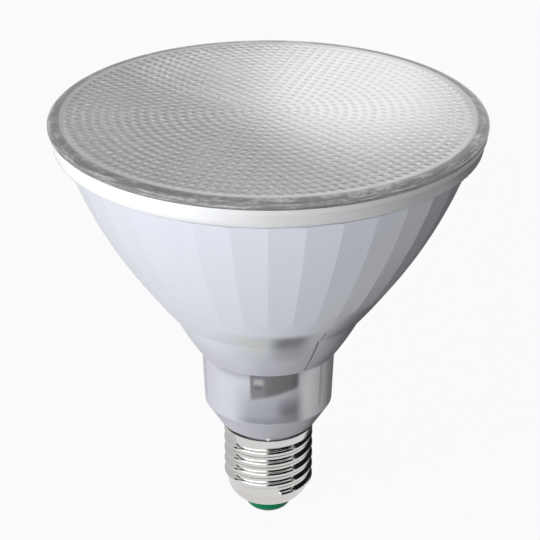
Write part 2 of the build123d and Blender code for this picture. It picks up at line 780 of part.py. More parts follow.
# Line choke: ferrite drum and its winding
choke_foot = beside_wall(choke_azimuth, choke_radius) * Location((0, 0, -choke_height))
with BuildPart() as choke_drum:
    with Locations(choke_foot):
        add(turned(
            (0, 0),
            (choke_radius, 0),
            (choke_radius, choke_flange),
            (choke_drum_radius, choke_flange),
            (choke_drum_radius, choke_height - choke_flange),
            (choke_radius, choke_height - choke_flange),
            (choke_radius, choke_height),
            (0, choke_height),
        ))
save(choke_drum, "choke_drum")
with BuildPart() as choke_winding:
    with Locations(choke_foot * Location((0, 0, choke_flange))):
        Cylinder(choke_winding_radius, choke_height - 2 * choke_flange,
                 align=(Align.CENTER, Align.CENTER, Align.MIN))
        Cylinder(choke_drum_radius, 2 * choke_height, mode=Mode.SUBTRACT)
save(choke_winding, "choke_winding")

# Fusible resistor in the live line
with BuildPart() as fuse_resistor:
    with Locations(beside_wall(fuse_azimuth, fuse_radius)):
        Cylinder(fuse_radius, fuse_length, align=(Align.CENTER, Align.CENTER, Align.MAX))
    fillet(fuse_resistor.edges().filter_by(GeomType.CIRCLE), fuse_round)
save(fuse_resistor, "fuse_resistor")

# Bulk capacitor
with BuildPart() as bulk_capacitor:
    with Locations(board_place(bulk_can_azimuth, bulk_can_radius, bulk_can_inset)):
        add(can(bulk_can_radius, bulk_can_height))
save(bulk_capacitor, "bulk_capacitor")

# Film capacitor in its dipped box
with BuildPart() as film_capacitor:
    with Locations(board_place(film_azimuth, film_depth / 2, film_inset)):
        Box(film_depth, film_length, film_height, align=(Align.CENTER, Align.CENTER, Align.MIN))
    fillet(film_capacitor.edges().filter_by(Axis.Z), film_round)
    fillet(film_capacitor.edges().group_by(Axis.Z)[-1], film_round)
save(film_capacitor, "film_capacitor")

# Bridge rectifier
with BuildPart() as bridge_rectifier:
    with Locations(board_place(rectifier_azimuth, rectifier_length / 2, rectifier_inset)):
        Box(rectifier_length, rectifier_depth, rectifier_height,
            align=(Align.CENTER, Align.CENTER, Align.MIN))
    chamfer(bridge_rectifier.edges().group_by(Axis.Z)[-1], rectifier_edge)
save(bridge_rectifier, "bridge_rectifier")

# Driver chip
with BuildPart() as driver_chip:
    with Locations((chip_x, chip_y, z_board_top)):
        Box(chip_length, chip_depth, chip_height, align=(Align.CENTER, Align.CENTER, Align.MIN))
    chamfer(driver_chip.edges().group_by(Axis.Z)[-1], chip_edge)
save(driver_chip, "driver_chip")

# Varistor: a dipped disc on edge, standing on two leads
varistor_foot = board_place(varistor_azimuth, varistor_radius, varistor_inset)
varistor_middle = Location((0, 0, varistor_stand + varistor_radius), (90, 0, 0))
with BuildPart() as varistor:
    with Locations(varistor_foot * varistor_middle):
        Cylinder(varistor_radius, varistor_thickness)
    fillet(varistor.edges().filter_by(GeomType.CIRCLE), varistor_round)
    with Locations(varistor_foot):
        with GridLocations(varistor_lead_spacing, 0, 2, 1):
            Cylinder(varistor_lead_radius, varistor_stand + varistor_radius,
                     align=(Align.CENTER, Align.CENTER, Align.MIN))
save(varistor, "varistor")


def wire(radius, bend, *points):
    """Round wire along straight runs joined by bends."""
    with BuildPart() as strand:
        with BuildLine() as route:
            FilletPolyline(*points, radius=bend)
        with BuildSketch(Plane(origin=route.line @ 0, z_dir=route.line % 0)):
            Circle(radius)
        sweep()
    return strand.part


# Live wire: from the contact's eyelet up to the driver board
with BuildPart() as live_wire:
    add(wire(
        wire_radius, wire_bend,
        (0, 0, contact_solder_height),
        (0, 0, live_wire_turn),
        (live_wire_x, live_wire_y, live_wire_height),
        (live_wire_x, live_wire_y, z_board),
    ))
save(live_wire, "live_wire")

# Neutral wire: from the board down through the boss's port and out over the shell's rim
z_wire_port = z_cap_rim + wire_port_height
with BuildPart() as neutral_wire:
    add(wire(
        wire_radius, neutral_bend,
        (neutral_wire_x, neutral_wire_y, z_board),
        (neutral_wire_x, neutral_wire_y, neutral_wire_height),
        (neutral_turn_x, neutral_turn_y, neutral_turn_height),
        (0, neutral_port_y, z_wire_port),
        (0, neutral_end_y, z_wire_port),
    ))
save(neutral_wire, "neutral_wire")

# Lamp wires: from the driver board through the heat sink to the emitter plate
z_lamp_wire = z_emitter + lamp_wire_radius + solder_gap
lamp_wire_end = emitter_side / 2 + solder_gap
with BuildPart() as lamp_wires:
    with Locations((lamp_wire_spacing, 0, 0), (-lamp_wire_spacing, 0, 0)):
        add(wire(
            lamp_wire_radius, lamp_wire_bend,
            (0, lamp_wire_offset, z_board_top),
            (0, lamp_wire_offset, z_lamp_wire),
            (0, lamp_wire_end, z_lamp_wire),
        ))
save(lamp_wires, "lamp_wires")
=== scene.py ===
"""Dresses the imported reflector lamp, lights it in a plain studio and frames it from the front."""

import logging
import math
from collections.abc import Callable
from dataclasses import dataclass
from enum import Enum

import bpy
import numpy as np
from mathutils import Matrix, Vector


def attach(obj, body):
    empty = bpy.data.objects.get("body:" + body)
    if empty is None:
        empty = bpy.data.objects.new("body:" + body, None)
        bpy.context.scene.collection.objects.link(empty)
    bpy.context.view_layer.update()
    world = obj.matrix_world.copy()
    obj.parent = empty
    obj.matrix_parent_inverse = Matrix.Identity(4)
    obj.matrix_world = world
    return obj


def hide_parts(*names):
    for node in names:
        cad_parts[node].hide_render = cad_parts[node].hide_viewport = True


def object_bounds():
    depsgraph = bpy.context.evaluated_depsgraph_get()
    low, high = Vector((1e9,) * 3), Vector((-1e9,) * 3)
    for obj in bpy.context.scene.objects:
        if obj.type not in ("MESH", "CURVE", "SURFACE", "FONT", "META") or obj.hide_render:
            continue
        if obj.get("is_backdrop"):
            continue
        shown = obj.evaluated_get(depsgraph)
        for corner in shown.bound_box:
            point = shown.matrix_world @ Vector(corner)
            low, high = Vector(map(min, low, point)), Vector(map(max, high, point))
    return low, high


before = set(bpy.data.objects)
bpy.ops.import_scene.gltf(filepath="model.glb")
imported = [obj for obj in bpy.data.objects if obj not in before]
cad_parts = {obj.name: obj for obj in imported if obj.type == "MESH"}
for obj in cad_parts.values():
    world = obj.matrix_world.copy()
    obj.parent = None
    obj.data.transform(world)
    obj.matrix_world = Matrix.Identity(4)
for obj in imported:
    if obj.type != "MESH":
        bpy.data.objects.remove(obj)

LOG = logging.getLogger("lamp_scene")
MILLIMETRE = 0.001

# Numbers of the colour mix node's inputs for the factor and both colours, and of its colour output.
MIX_FACTOR, MIX_FIRST, MIX_SECOND, MIX_RESULT = 0, 6, 7, 2

Colour = tuple[float, float, float]
Inputs = dict[str | int, object]


def tone(red: float, green: float, blue: float) -> Colour:
    """Gives the linear colour of a display colour.

    Args:
        red: Red as shown on a display, 0 to 255.
        green: Green as shown on a display, 0 to 255.
        blue: Blue as shown on a display, 0 to 255.

    Returns:
        The same colour as linear red, green and blue, 0 to 1.
    """
    shown = np.array([red, green, blue]) / 255.0
    linear = np.where(shown <= 0.04045, shown / 12.92, ((shown + 0.055) / 1.055) ** 2.4)
    return tuple(float(channel) for channel in linear)


class Field:
    """One output of a node tree that can be used in a sum like a plain number."""

    def __init__(self, shader: "Shader", socket: bpy.types.NodeSocket) -> None:
        """Keeps the tree that the output belongs to and the output itself."""
        self.shader = shader
        self.socket = socket

    def _join(self, left: object, right: object, maths: str, blend: str) -> "Field":
        """Joins two sides by a maths node, a vector maths node or a colour mix.

        Args:
            left: The left side, a field, a number or a colour.
            right: The right side, a field, a number or a colour.
            maths: The operation's name in the maths nodes.
            blend: The blend's name in the colour mix.

        Returns:
            The field of the result.
        """
        if self.socket.type == "RGBA":
            return self.shader.blend(1.0, left, right, blend)
        kind = "ShaderNodeVectorMath" if self.socket.type == "VECTOR" else "ShaderNodeMath"
        return self.shader.field(kind, {"operation": maths}, {0: left, 1: right})

    def __add__(self, other: object) -> "Field":
        """Adds a field, number or colour."""
        return self._join(self, other, "ADD", "ADD")

    __radd__ = __add__

    def __sub__(self, other: object) -> "Field":
        """Takes a field, number or colour away."""
        return self._join(self, other, "SUBTRACT", "SUBTRACT")

    def __rsub__(self, other: object) -> "Field":
        """Takes this field away from a number or colour."""
        return self._join(other, self, "SUBTRACT", "SUBTRACT")

    def __mul__(self, other: object) -> "Field":
        """Multiplies by a field, number or colour."""
        return self._join(self, other, "MULTIPLY", "MULTIPLY")

    __rmul__ = __mul__

    def __truediv__(self, other: object) -> "Field":
        """Divides by a field, number or colour."""
        return self._join(self, other, "DIVIDE", "DIVIDE")

    def __pow__(self, other: float) -> "Field":
        """Raises a field of numbers to a power."""
        return self.shader.field("ShaderNodeMath", {"operation": "POWER"}, {0: self, 1: other})

    def larger(self, other: object) -> "Field":
        """Takes the larger of this field and another value."""
        return self._join(self, other, "MAXIMUM", "LIGHTEN")

    def smaller(self, other: object) -> "Field":
        """Takes the smaller of this field and another value."""
        return self._join(self, other, "MINIMUM", "DARKEN")

    def of(self, function: str) -> "Field":
        """Takes a function of one value, such as SINE or ABSOLUTE."""
        return self.shader.field("ShaderNodeMath", {"operation": function}, {0: self})


class Shader:
    """A node tree that is built from fields."""

    def __init__(self, tree: bpy.types.NodeTree) -> None:
        """Empties the tree and keeps it."""
        self.tree = tree
        tree.nodes.clear()

    def _feed(self, socket: bpy.types.NodeSocket, value: object) -> None:
        """Links a field to an input, or sets the input to a plain value.

        Args:
            socket: The input.
            value: A field, a number, or the numbers of a vector or colour.
        """
        if isinstance(value, Field):
            self.tree.links.new(value.socket, socket)
        elif socket.type in {"VECTOR", "RGBA"}:
            width = 4 if socket.type == "RGBA" else 3
            values = [value] * 3 if isinstance(value, (int, float)) else list(value)
            socket.default_value = (values + [1.0])[:width]
        else:
            socket.default_value = value

    def node(self, kind: str, settings: dict | None = None, inputs: Inputs | None = None) -> bpy.types.Node:
        """Makes a node.

        Args:
            kind: The node's type.
            settings: The node's own settings, set first.
            inputs: Values or fields for its inputs, by name or by number.

        Returns:
            The new node.
        """
        made = self.tree.nodes.new(kind)
        for name, value in (settings or {}).items():
            setattr(made, name, value)
        for key, value in (inputs or {}).items():
            self._feed(made.inputs[key], value)
        return made

    def field(
        self, kind: str, settings: dict | None = None, inputs: Inputs | None = None, output: str | int = 0
    ) -> Field:
        """Makes a node and gives one of its outputs as a field."""
        return Field(self, self.node(kind, settings, inputs).outputs[output])

    def blend(self, factor: object, first: object, second: object, how: str = "MIX") -> Field:
        """Mixes two colours.

        Args:
            factor: How much of the second colour is taken, 0 to 1.
            first: The first colour.
            second: The second colour.
            how: The blend's name.

        Returns:
            The mixed colour.
        """
        settings = {"data_type": "RGBA", "blend_type": how, "clamp_factor": True}
        inputs = {MIX_FACTOR: factor, MIX_FIRST: first, MIX_SECOND: second}
        return self.field("ShaderNodeMix", settings, inputs, MIX_RESULT)

    def tint(self, colour: object, amount: Field) -> Field:
        """Multiplies a colour by an amount."""
        return self.blend(1.0, colour, amount, "MULTIPLY")

    def place(self) -> Field:
        """Gives the object coordinates in millimetres."""
        return self.field("ShaderNodeTexCoord", output="Object") * (1.0 / MILLIMETRE)

    def note(self, name: str) -> Field:
        """Gives a value that the piece stores for each of its points."""
        return self.field("ShaderNodeAttribute", {"attribute_name": name}, output="Fac")

    def parts(self, vector: Field) -> tuple[Field, Field, Field]:
        """Splits a vector into its three parts."""
        split = self.node("ShaderNodeSeparateXYZ", inputs={0: vector})
        return Field(self, split.outputs[0]), Field(self, split.outputs[1]), Field(self, split.outputs[2])

    def vector(self, x: object, y: object, z: object) -> Field:
        """Joins three values into a vector."""
        return self.field("ShaderNodeCombineXYZ", inputs={0: x, 1: y, 2: z})

    def around(self) -> tuple[Field, Field, Field]:
        """Gives where a point lies round the axis.

        Returns:
            Azimuth in degrees (0 at the front, positive to the right), radius and height in millimetres.
        """
        x, y, z = self.parts(self.place())
        turn = self.field("ShaderNodeMath", {"operation": "ARCTAN2"}, {0: x, 1: y * -1.0})
        return turn * math.degrees(1.0), (x * x + y * y) ** 0.5, z

    def rise(self, value: Field, low: float, high: float) -> Field:
        """Goes smoothly from 0 at the low value to 1 at the high value."""
        settings = {"interpolation_type": "SMOOTHSTEP", "clamp": True}
        return self.field("ShaderNodeMapRange", settings, {"Value": value, "From Min": low, "From Max": high})

    def window(self, value: Field, low: float, high: float, soft: float) -> Field:
        """Is 1 between two values and 0 outside them, with soft edges.

        Args:
            value: The value that is tested.
            low: Middle of the lower edge.
            high: Middle of the upper edge.
            soft: Width of each edge.

        Returns:
            The window as a field, 0 to 1.
        """
        half = soft / 2.0
        return self.rise(value, low - half, low + half) * (1.0 - self.rise(value, high - half, high + half))

    def noise(self, where: Field, size: float, detail: float = 2.0, roughness: float = 0.5) -> Field:
        """Gives smooth noise, 0 to 1, whose patches are about the given size in millimetres."""
        inputs = {"Vector": where, "Scale": 1.0 / size, "Detail": detail, "Roughness": roughness}
        return self.field("ShaderNodeTexNoise", {"noise_dimensions": "3D"}, inputs)

    def bump(self, height: Field, depth: float, strength: float = 1.0) -> Field:
        """Gives the normal of a height between 0 and 1 that stands for a depth in millimetres."""
        inputs = {"Strength": strength, "Distance": depth * MILLIMETRE, "Height": height}
        return self.field("ShaderNodeBump", inputs=inputs)

    def surface(self, **inputs: object) -> Field:
        """Makes the standard surface shader. Each name is an input's name with its spaces as underscores."""
        named = {name.replace("_", " "): value for name, value in inputs.items()}
        return self.field("ShaderNodeBsdfPrincipled", inputs=named)

    def light(self, colour: object) -> Field:
        """Makes an even colour that takes no light."""
        return self.field("ShaderNodeEmission", inputs={"Color": colour, "Strength": 1.0})

    def layer(self, factor: object, under: Field, over: Field) -> Field:
        """Lays one surface over another by a factor."""
        return self.field("ShaderNodeMixShader", inputs={0: factor, 1: under, 2: over})

    def show(self, surface: Field) -> None:
        """Sends a surface to the output."""
        self.node("ShaderNodeOutputMaterial", inputs={"Surface": surface})


def material(name: str, build: Callable[[Shader], Field]) -> bpy.types.Material:
    """Makes a material.

    Args:
        name: The material's name.
        build: Builds the surface in the material's shader.

    Returns:
        The new material.
    """
    made = bpy.data.materials.new(name)
    made.use_nodes = True
    shader = Shader(made.node_tree)
    shader.show(build(shader))
    return made


@dataclass(frozen=True)
class Finish:
    """A material by its plain name. Each kind of finish builds its own surface.

    Attributes:
        name: The material's name.
        colour: Its main colour, linear.
    """

    name: str
    colour: Colour

    def make(self) -> bpy.types.Material:
        """Makes the material, with its main colour for plain views.

        Returns:
            The new material.
        """
        made = material(self.name, self.build)
        made.diffuse_color = (*self.colour, 1.0)
        return made

    def build(self, shader: Shader) -> Field:
        """Builds the finish's surface.

        Args:
            shader: The shader of the finish's material.

        Returns:
            The surface.
        """
        raise NotImplementedError


@dataclass(frozen=True)
class Plastic(Finish):
    """Moulded or painted plastic with a faint mottle and a fine surface grain.

    Attributes:
        roughness: Mean roughness.
        mottle: How far the colour varies, 0 to 1.
        patch: Size of the mottle in millimetres.
        grain: Depth of the surface grain in millimetres.
        coat: Weight of the clear gloss on top.
        gleam: Strength of the plain surface reflection.
    """

    roughness: float = 0.4
    mottle: float = 0.06
    patch: float = 4.0
    grain: float = 0.01
    coat: float = 0.0
    gleam: float = 0.5

    def build(self, shader: Shader) -> Field:
        """Builds the mottled and grained plastic.

        Args:
            shader: The shader of the finish's material.

        Returns:
            The surface.
        """
        place = shader.place()
        mottle = shader.noise(place, self.patch, 3.0) - 0.5
        fine = shader.noise(place, 0.25, 2.0)
        return shader.surface(
            Base_Color=shader.tint(self.colour, mottle * self.mottle * 2.0 + 1.0),
            Roughness=mottle * 0.16 + self.roughness,
            Specular_IOR_Level=self.gleam,
            Coat_Weight=self.coat,
            Coat_Roughness=0.12,
            Normal=shader.bump(fine, self.grain, 0.6),
        )


@dataclass(frozen=True)
class Metal(Finish):
    """Bare or plated metal with fine turned or drawn marks round the axis.

    Attributes:
        roughness: Mean roughness.
        marks: How far the marks change the roughness.
        depth: Depth of the marks in millimetres.
        tarnish: How far the colour varies, 0 to 1.
    """

    roughness: float = 0.25
    marks: float = 0.1
    depth: float = 0.004
    tarnish: float = 0.08

    def build(self, shader: Shader) -> Field:
        """Builds the marked and slightly tarnished metal.

        Args:
            shader: The shader of the finish's material.

        Returns:
            The surface.
        """
        _, radius, height = shader.around()
        place = shader.place()
        lines = shader.noise(shader.vector(radius * 4.0, 0.0, height * 4.0), 0.6, 4.0, 0.7)
        cloud = shader.noise(place, 5.0, 3.0)
        return shader.surface(
            Base_Color=shader.tint(self.colour, (cloud - 0.5) * self.tarnish * 2.0 + 1.0),
            Metallic=1.0,
            Roughness=(lines - 0.5) * self.marks + self.roughness,
            Normal=shader.bump(lines, self.depth, 0.5),
        )


@dataclass(frozen=True)
class RingPlastic(Finish):
    """Glossy white plastic of the bezel, with painted shade that greys it towards the front right.

    Attributes:
        grey: The greyer colour of the painted shade and of the foot.
        front: Azimuths between which the painted shade greys the ring, in degrees.
        front_blur: Width of the change at both, in degrees.
        foot: Heights between which it turns white from its grey foot up, in millimetres.
        roughness: Mean roughness.
    """

    grey: Colour = tone(212, 213, 215)
    front: tuple[float, float] = (-16.0, 120.0)
    front_blur: float = 52.0
    foot: tuple[float, float] = (120.2, 122.4)
    roughness: float = 0.34

    def build(self, shader: Shader) -> Field:
        """Builds the glossy white plastic.

        Args:
            shader: The shader of the finish's material.

        Returns:
            The surface.
        """
        turn, _, height = shader.around()
        place = shader.place()
        cloud = shader.noise(place, 16.0, 3.0) - 0.5
        peel = shader.noise(place, 1.4, 2.0)
        # Painted shade greys the ring towards the front right.
        colour = shader.blend(shader.window(turn, *self.front, self.front_blur), self.colour, self.grey)
        colour = shader.blend(1.0 - shader.rise(height, *self.foot), colour, self.grey)
        return shader.surface(
            Base_Color=shader.tint(colour, cloud * 0.05 + 1.0),
            Roughness=(peel - 0.5) * 0.08 + self.roughness,
            Coat_Weight=0.2,
            Coat_Roughness=0.14,
            Normal=shader.bump(peel, 0.005, 0.4),
        )


@dataclass(frozen=True)
class CapNickel(Finish):
    """Bright nickel of the screw cap, a little warmer and streaked on its plain lower cup.

    Attributes:
        cup_colour: Colour of the plain cup under the thread.
        cup_top: Height where the plain cup ends, in millimetres.
        cup_blur: Height over which its colour and streaks fade.
        roughness: Roughness of the thread.
        cup_roughness: Roughness of the plain cup.
    """

    cup_colour: Colour = tone(212, 209, 207)
    cup_top: float = 11.4
    cup_blur: float = 1.4
    roughness: float = 0.11
    cup_roughness: float = 0.26

    def build(self, shader: Shader) -> Field:
        """Builds the bright thread and the streaked cup.

        Args:
            shader: The shader of the finish's material.

        Returns:
            The surface.
        """
        turn, radius, height = shader.around()
        place = shader.place()
        cup = 1.0 - shader.rise(height, self.cup_top - self.cup_blur, self.cup_top)
        rings = shader.noise(shader.vector(radius * 3.0, turn * 0.01, height * 5.0), 0.9, 4.0, 0.65)
        cloud = shader.noise(place, 3.5, 3.0)
        scuff = shader.rise(shader.noise(place, 0.7, 5.0, 0.75), 0.58, 0.78)
        plate = shader.blend(cup, self.colour, self.cup_colour)
        shade = (cloud - 0.5) * 0.12 + 1.0 - cup * (rings - 0.4).larger(0.0) * 0.5
        return shader.surface(
            Base_Color=shader.tint(plate, shade),
            Metallic=1.0,
            Roughness=cup * (self.cup_roughness - self.roughness) + self.roughness + scuff * 0.08,
            Normal=shader.bump(rings, 0.006, 0.35),
        )


@dataclass(frozen=True)
class Shadow:
    """A blurred patch painted on the milky wall: painted shade where its colour is dark and painted light
    where it is pale, most of them the shadows of inner parts.

    Attributes:
        left: Azimuth of its left side in degrees.
        right: Azimuth of its right side in degrees.
        low: Height of its lower edge in millimetres.
        high: Height of its upper edge in millimetres.
        strength: How far the wall takes its colour, 0 to 1.
        side_blur: Width of the soft sides in degrees.
        foot_blur: Width of the soft lower edge in millimetres.
        head_blur: Width of the soft upper edge in millimetres.
        colour: The painted colour, dark for shade and pale for light.
        slant: How far the lower edge rises to the right, in millimetres a degree.
        ledge: Height of the ledge that no shape of the neck passes.
    """

    left: float
    right: float
    low: float
    high: float
    strength: float
    side_blur: float = 6.0
    foot_blur: float = 2.0
    head_blur: float = 2.0
    colour: Colour = tone(120, 122, 130)
    slant: float = 0.0
    ledge: float = 56.0

    def mask(self, shader: Shader, turn: Field, height: Field) -> Field:
        """Gives how strongly the shape shows.

        Args:
            shader: The shader that it shows in.
            turn: Azimuth in degrees.
            height: Height in millimetres.

        Returns:
            The shape's strength inside it and 0 outside, with soft edges.
        """
        across = shader.window(turn, self.left, self.right, self.side_blur)
        level = height - turn * self.slant
        foot = shader.rise(level, self.low - self.foot_blur / 2, self.low + self.foot_blur / 2)
        head = shader.rise(height, self.high - self.head_blur / 2, self.high + self.head_blur / 2)
        below = 1.0 - shader.rise(height, self.ledge - 0.1, self.ledge) if self.low < self.ledge else 1.0
        return across * foot * (1.0 - head) * below * self.strength


@dataclass(frozen=True)
class MilkyHousing(Finish):
    """Slightly milky housing plastic with the shade and light of its inner parts painted on it as soft
    shapes.

    Attributes:
        lower: Colour of the wall round the driver, darkened by the driver's painted shade.
        driver_shade_zone: Heights between which that painted shade gives way to the main colour, in
            millimetres.
        shadows: The soft patches of painted shade and light.
        roughness: Mean roughness.
    """

    lower: Colour = tone(194, 195, 204)
    driver_shade_zone: tuple[float, float] = (57.0, 78.0)
    shadows: tuple[Shadow, ...] = ()
    roughness: float = 0.32

    def build(self, shader: Shader) -> Field:
        """Builds the milky wall with the soft painted shade and light on it.

        Args:
            shader: The shader of the finish's material.

        Returns:
            The surface.
        """
        turn, _, height = shader.around()
        place = shader.place()
        drift = shader.noise(place, 28.0, 2.0)
        wobble = (shader.noise(place, 5.0, 2.0) - 0.5) * 1.2
        # Painted shade of the driver darkens the wall below the zone.
        colour = shader.blend(1.0 - shader.rise(height, *self.driver_shade_zone), self.colour, self.lower)
        colour = shader.tint(colour, (drift - 0.5) * 0.05 + 1.0)
        # Each patch lays painted shade or painted light over the wall's colour.
        for shadow in self.shadows:
            mask = shadow.mask(shader, turn + wobble, height + wobble * 0.4)
            colour = shader.blend(mask, colour, shadow.colour)
        peel = shader.noise(place, 1.6, 2.0)
        return shader.surface(
            Base_Color=colour,
            Roughness=(peel - 0.5) * 0.08 + self.roughness,
            Specular_IOR_Level=0.35,
            Coat_Weight=0.1,
            Coat_Roughness=0.18,
            Normal=shader.bump(peel, 0.006, 0.4),
        )


@dataclass(frozen=True)
class Glow:
    """Zone of painted highlight on the lens and the reflector, at their back right where the light gathers.

    Attributes:
        x: Its middle to the right of the axis, in millimetres.
        y: Its middle behind the axis.
        width: Half its width.
        depth: Half its depth.
        soft: How far its edge is spread, as a share of its size.
    """

    x: float = 24.0
    y: float = 22.0
    width: float = 29.0
    depth: float = 44.0
    soft: float = 0.55

    def mask(self, shader: Shader, place: Field) -> Field:
        """Gives the zone as an ellipse with a soft edge.

        Args:
            shader: The shader that it shows in.
            place: Object coordinates in millimetres.

        Returns:
            1 in the zone's middle and 0 outside it.
        """
        x, y, _ = shader.parts(place)
        across = (x - self.x) / self.width
        deep = (y - self.y) / self.depth
        reach = (across * across + deep * deep) ** 0.5
        return 1.0 - shader.rise(reach, 1.0 - self.soft, 1.0 + self.soft)

    def lean(self, shader: Shader, place: Field) -> Field:
        """Gives how far a place lies towards the right back, in millimetres."""
        x, y, _ = shader.parts(place)
        return x * 0.8 + y * 0.6


@dataclass(frozen=True)
class ClearLens(Finish):
    """Clear moulded lens under a silvery veil, with painted shade and highlights in its dimples, a painted
    bright zone and a rim of painted reflection streaks.

    Attributes:
        rim_start: Radius where the streaky rim begins, in millimetres.
        rim_blur: Width over which it begins.
        rim_weight: How far the rim hides what is behind it.
        rim_dark: Colour of the rim between its painted reflection streaks.
        rim_reflection_streak: Colour of its painted reflection streaks.
        foot: Heights between which the painted shade at the rim's foot ends, in millimetres.
        foot_shade: Colour of that painted shade.
        border: Radius where the smooth border begins.
        border_blur: Width over which it begins.
        border_tone: Colour of that border.
        haze: How far the face hides what is behind it.
        face: Colour of the face between the dimples.
        crescent: How far the dimples' far walls hide what is behind them.
        far_wall_shade: Colour of the painted shade on those walls.
        disc: How far the dimples' middles hide what is behind them.
        disc_highlight: Colour of the painted highlight in those middles.
        dim: Where the face's painted shade is darkest and where it ends, from the left front to the right
            back.
        dim_shade: Colour of that painted shade.
        glow: The painted bright zone.
        glow_highlight: Colour of its painted highlight.
    """

    rim_start: float = 57.4
    rim_blur: float = 0.7
    rim_weight: float = 0.88
    rim_dark: Colour = tone(130, 130, 131)
    rim_reflection_streak: Colour = tone(232, 232, 230)
    foot: tuple[float, float] = (125.9, 126.15)
    foot_shade: Colour = tone(66, 66, 68)
    border: float = 55.6
    border_blur: float = 0.8
    border_tone: Colour = tone(226, 226, 226)
    haze: float = 0.42
    face: Colour = tone(218, 218, 218)
    crescent: float = 0.34
    far_wall_shade: Colour = tone(96, 96, 96)
    disc: float = 0.26
    disc_highlight: Colour = tone(246, 246, 246)
    dim: tuple[float, float] = (-24.0, 16.0)
    dim_shade: Colour = tone(182, 182, 183)
    glow: Glow = Glow()
    glow_highlight: Colour = tone(255, 255, 255)

    def _rim(self, shader: Shader) -> Field:
        """Builds the rim's colour: painted reflection streaks and flecks along it, and painted shade at its
        foot.

        Args:
            shader: The shader of the finish's material.

        Returns:
            The colour.
        """
        x, y, height = shader.parts(shader.place())
        reflection_streak = shader.noise(shader.vector(x * 0.12, y * 0.12, height * 2.2), 1.0, 4.0, 0.65)
        reflection_fleck = shader.noise(shader.vector(x * 0.5, y * 0.5, height * 3.0), 1.0, 3.0, 0.6)
        bright = shader.rise(reflection_streak * 0.7 + reflection_fleck * 0.3, 0.45, 0.72)
        rim = shader.blend(bright, self.rim_dark, self.rim_reflection_streak)
        return shader.blend((1.0 - shader.rise(height, *self.foot)) * 0.8, rim, self.foot_shade)

    def build(self, shader: Shader) -> Field:
        """Builds the clear lens under a silvery veil, which is thicker where the lens hides more.

        Args:
            shader: The shader of the finish's material.

        Returns:
            The surface.
        """
        _, radius, _ = shader.around()
        place = shader.place()
        glow = self.glow.mask(shader, place)
        dim = 1.0 - shader.rise(self.glow.lean(shader, place), *self.dim)
        rim = shader.rise(radius, self.rim_start, self.rim_start + self.rim_blur)
        border = shader.rise(radius, self.border, self.border + self.border_blur)
        far_wall, middle = shader.note("far_wall"), shader.note("middle")
        # The veil's colour is painted light and shade: highlights in the dimples' middles and the bright
        # zone, shade on the left front and on the dimples' far walls.
        colour = shader.blend(middle, self.face, self.disc_highlight)
        colour = shader.blend(dim * 0.7, colour, self.dim_shade)
        colour = shader.blend(glow, colour, self.glow_highlight)
        colour = shader.blend(far_wall * (1.0 - glow * 0.6), colour, self.far_wall_shade)
        colour = shader.blend(border, colour, self.border_tone)
        clear = shader.surface(Base_Color=self.colour, Roughness=0.03, IOR=1.49, Transmission_Weight=1.0)
        silver = shader.surface(
            Base_Color=shader.blend(rim, colour, self._rim(shader)),
            Metallic=0.85 - rim * 0.5,
            Roughness=0.3,
            Coat_Weight=0.5,
            Coat_Roughness=0.08,
        )
        veil = far_wall * self.crescent * (1.0 - glow * 0.8) + middle * self.disc
        veil = (veil + glow * 0.5 + dim * 0.1 + self.haze).smaller(0.94)
        return shader.layer(veil.larger(border * 0.6).larger(rim * self.rim_weight), clear, silver)


@dataclass(frozen=True)
class MirrorCoat(Finish):
    """Metallised inside of the reflector, with a painted bright zone and painted shade greying it towards the
    left front.

    Attributes:
        shade: Colour of the painted shade at the left front.
        middle: Colour between the left front and the bright zone.
        lean: Where the one colour ends and the other begins, from the left front to the right back.
        roughness: Mean roughness.
        glow: The painted bright zone.
    """

    shade: Colour = tone(150, 150, 150)
    middle: Colour = tone(216, 216, 216)
    lean: tuple[float, float] = (-40.0, 24.0)
    roughness: float = 0.16
    glow: Glow = Glow()

    def build(self, shader: Shader) -> Field:
        """Builds the mirror with its painted bright side and its painted shade.

        Args:
            shader: The shader of the finish's material.

        Returns:
            The surface.
        """
        place = shader.place()
        cloud = shader.noise(place, 9.0, 3.0)
        lean = shader.rise(self.glow.lean(shader, place), *self.lean)
        colour = shader.blend(lean, self.shade, self.middle)
        colour = shader.blend(self.glow.mask(shader, place), colour, self.colour)
        return shader.surface(
            Base_Color=shader.tint(colour, (cloud - 0.5) * 0.1 + 1.0),
            Metallic=1.0,
            Roughness=(cloud - 0.5) * 0.1 + self.roughness,
        )


@dataclass(frozen=True)
class Winding(Finish):
    """Wire wound in even turns, or tape in even laps.

    Attributes:
        pitch: Distance between turns in millimetres.
        upright: Whether the turns lie over one another in height.
        metallic: Whether the wire is bare enamelled metal.
        roughness: Mean roughness.
    """

    pitch: float = 0.5
    upright: bool = True
    metallic: float = 0.0
    roughness: float = 0.35

    def build(self, shader: Shader) -> Field:
        """Builds the rows of turns.

        Args:
            shader: The shader of the finish's material.

        Returns:
            The surface.
        """
        place = shader.place()
        x, _, z = shader.parts(place)
        along = z if self.upright else x
        drift = shader.noise(place, 3.0, 2.0)
        turns = ((along / self.pitch + drift * 0.4) * math.pi).of("SINE").of("ABSOLUTE")
        # Painted shade darkens the grooves between the turns.
        colour = shader.tint(self.colour, turns * 0.45 + 0.62)
        return shader.surface(
            Base_Color=shader.tint(colour, (drift - 0.5) * 0.2 + 1.0),
            Metallic=self.metallic,
            Roughness=(drift - 0.5) * 0.2 + self.roughness,
            Normal=shader.bump(turns, 0.12, 0.8),
        )


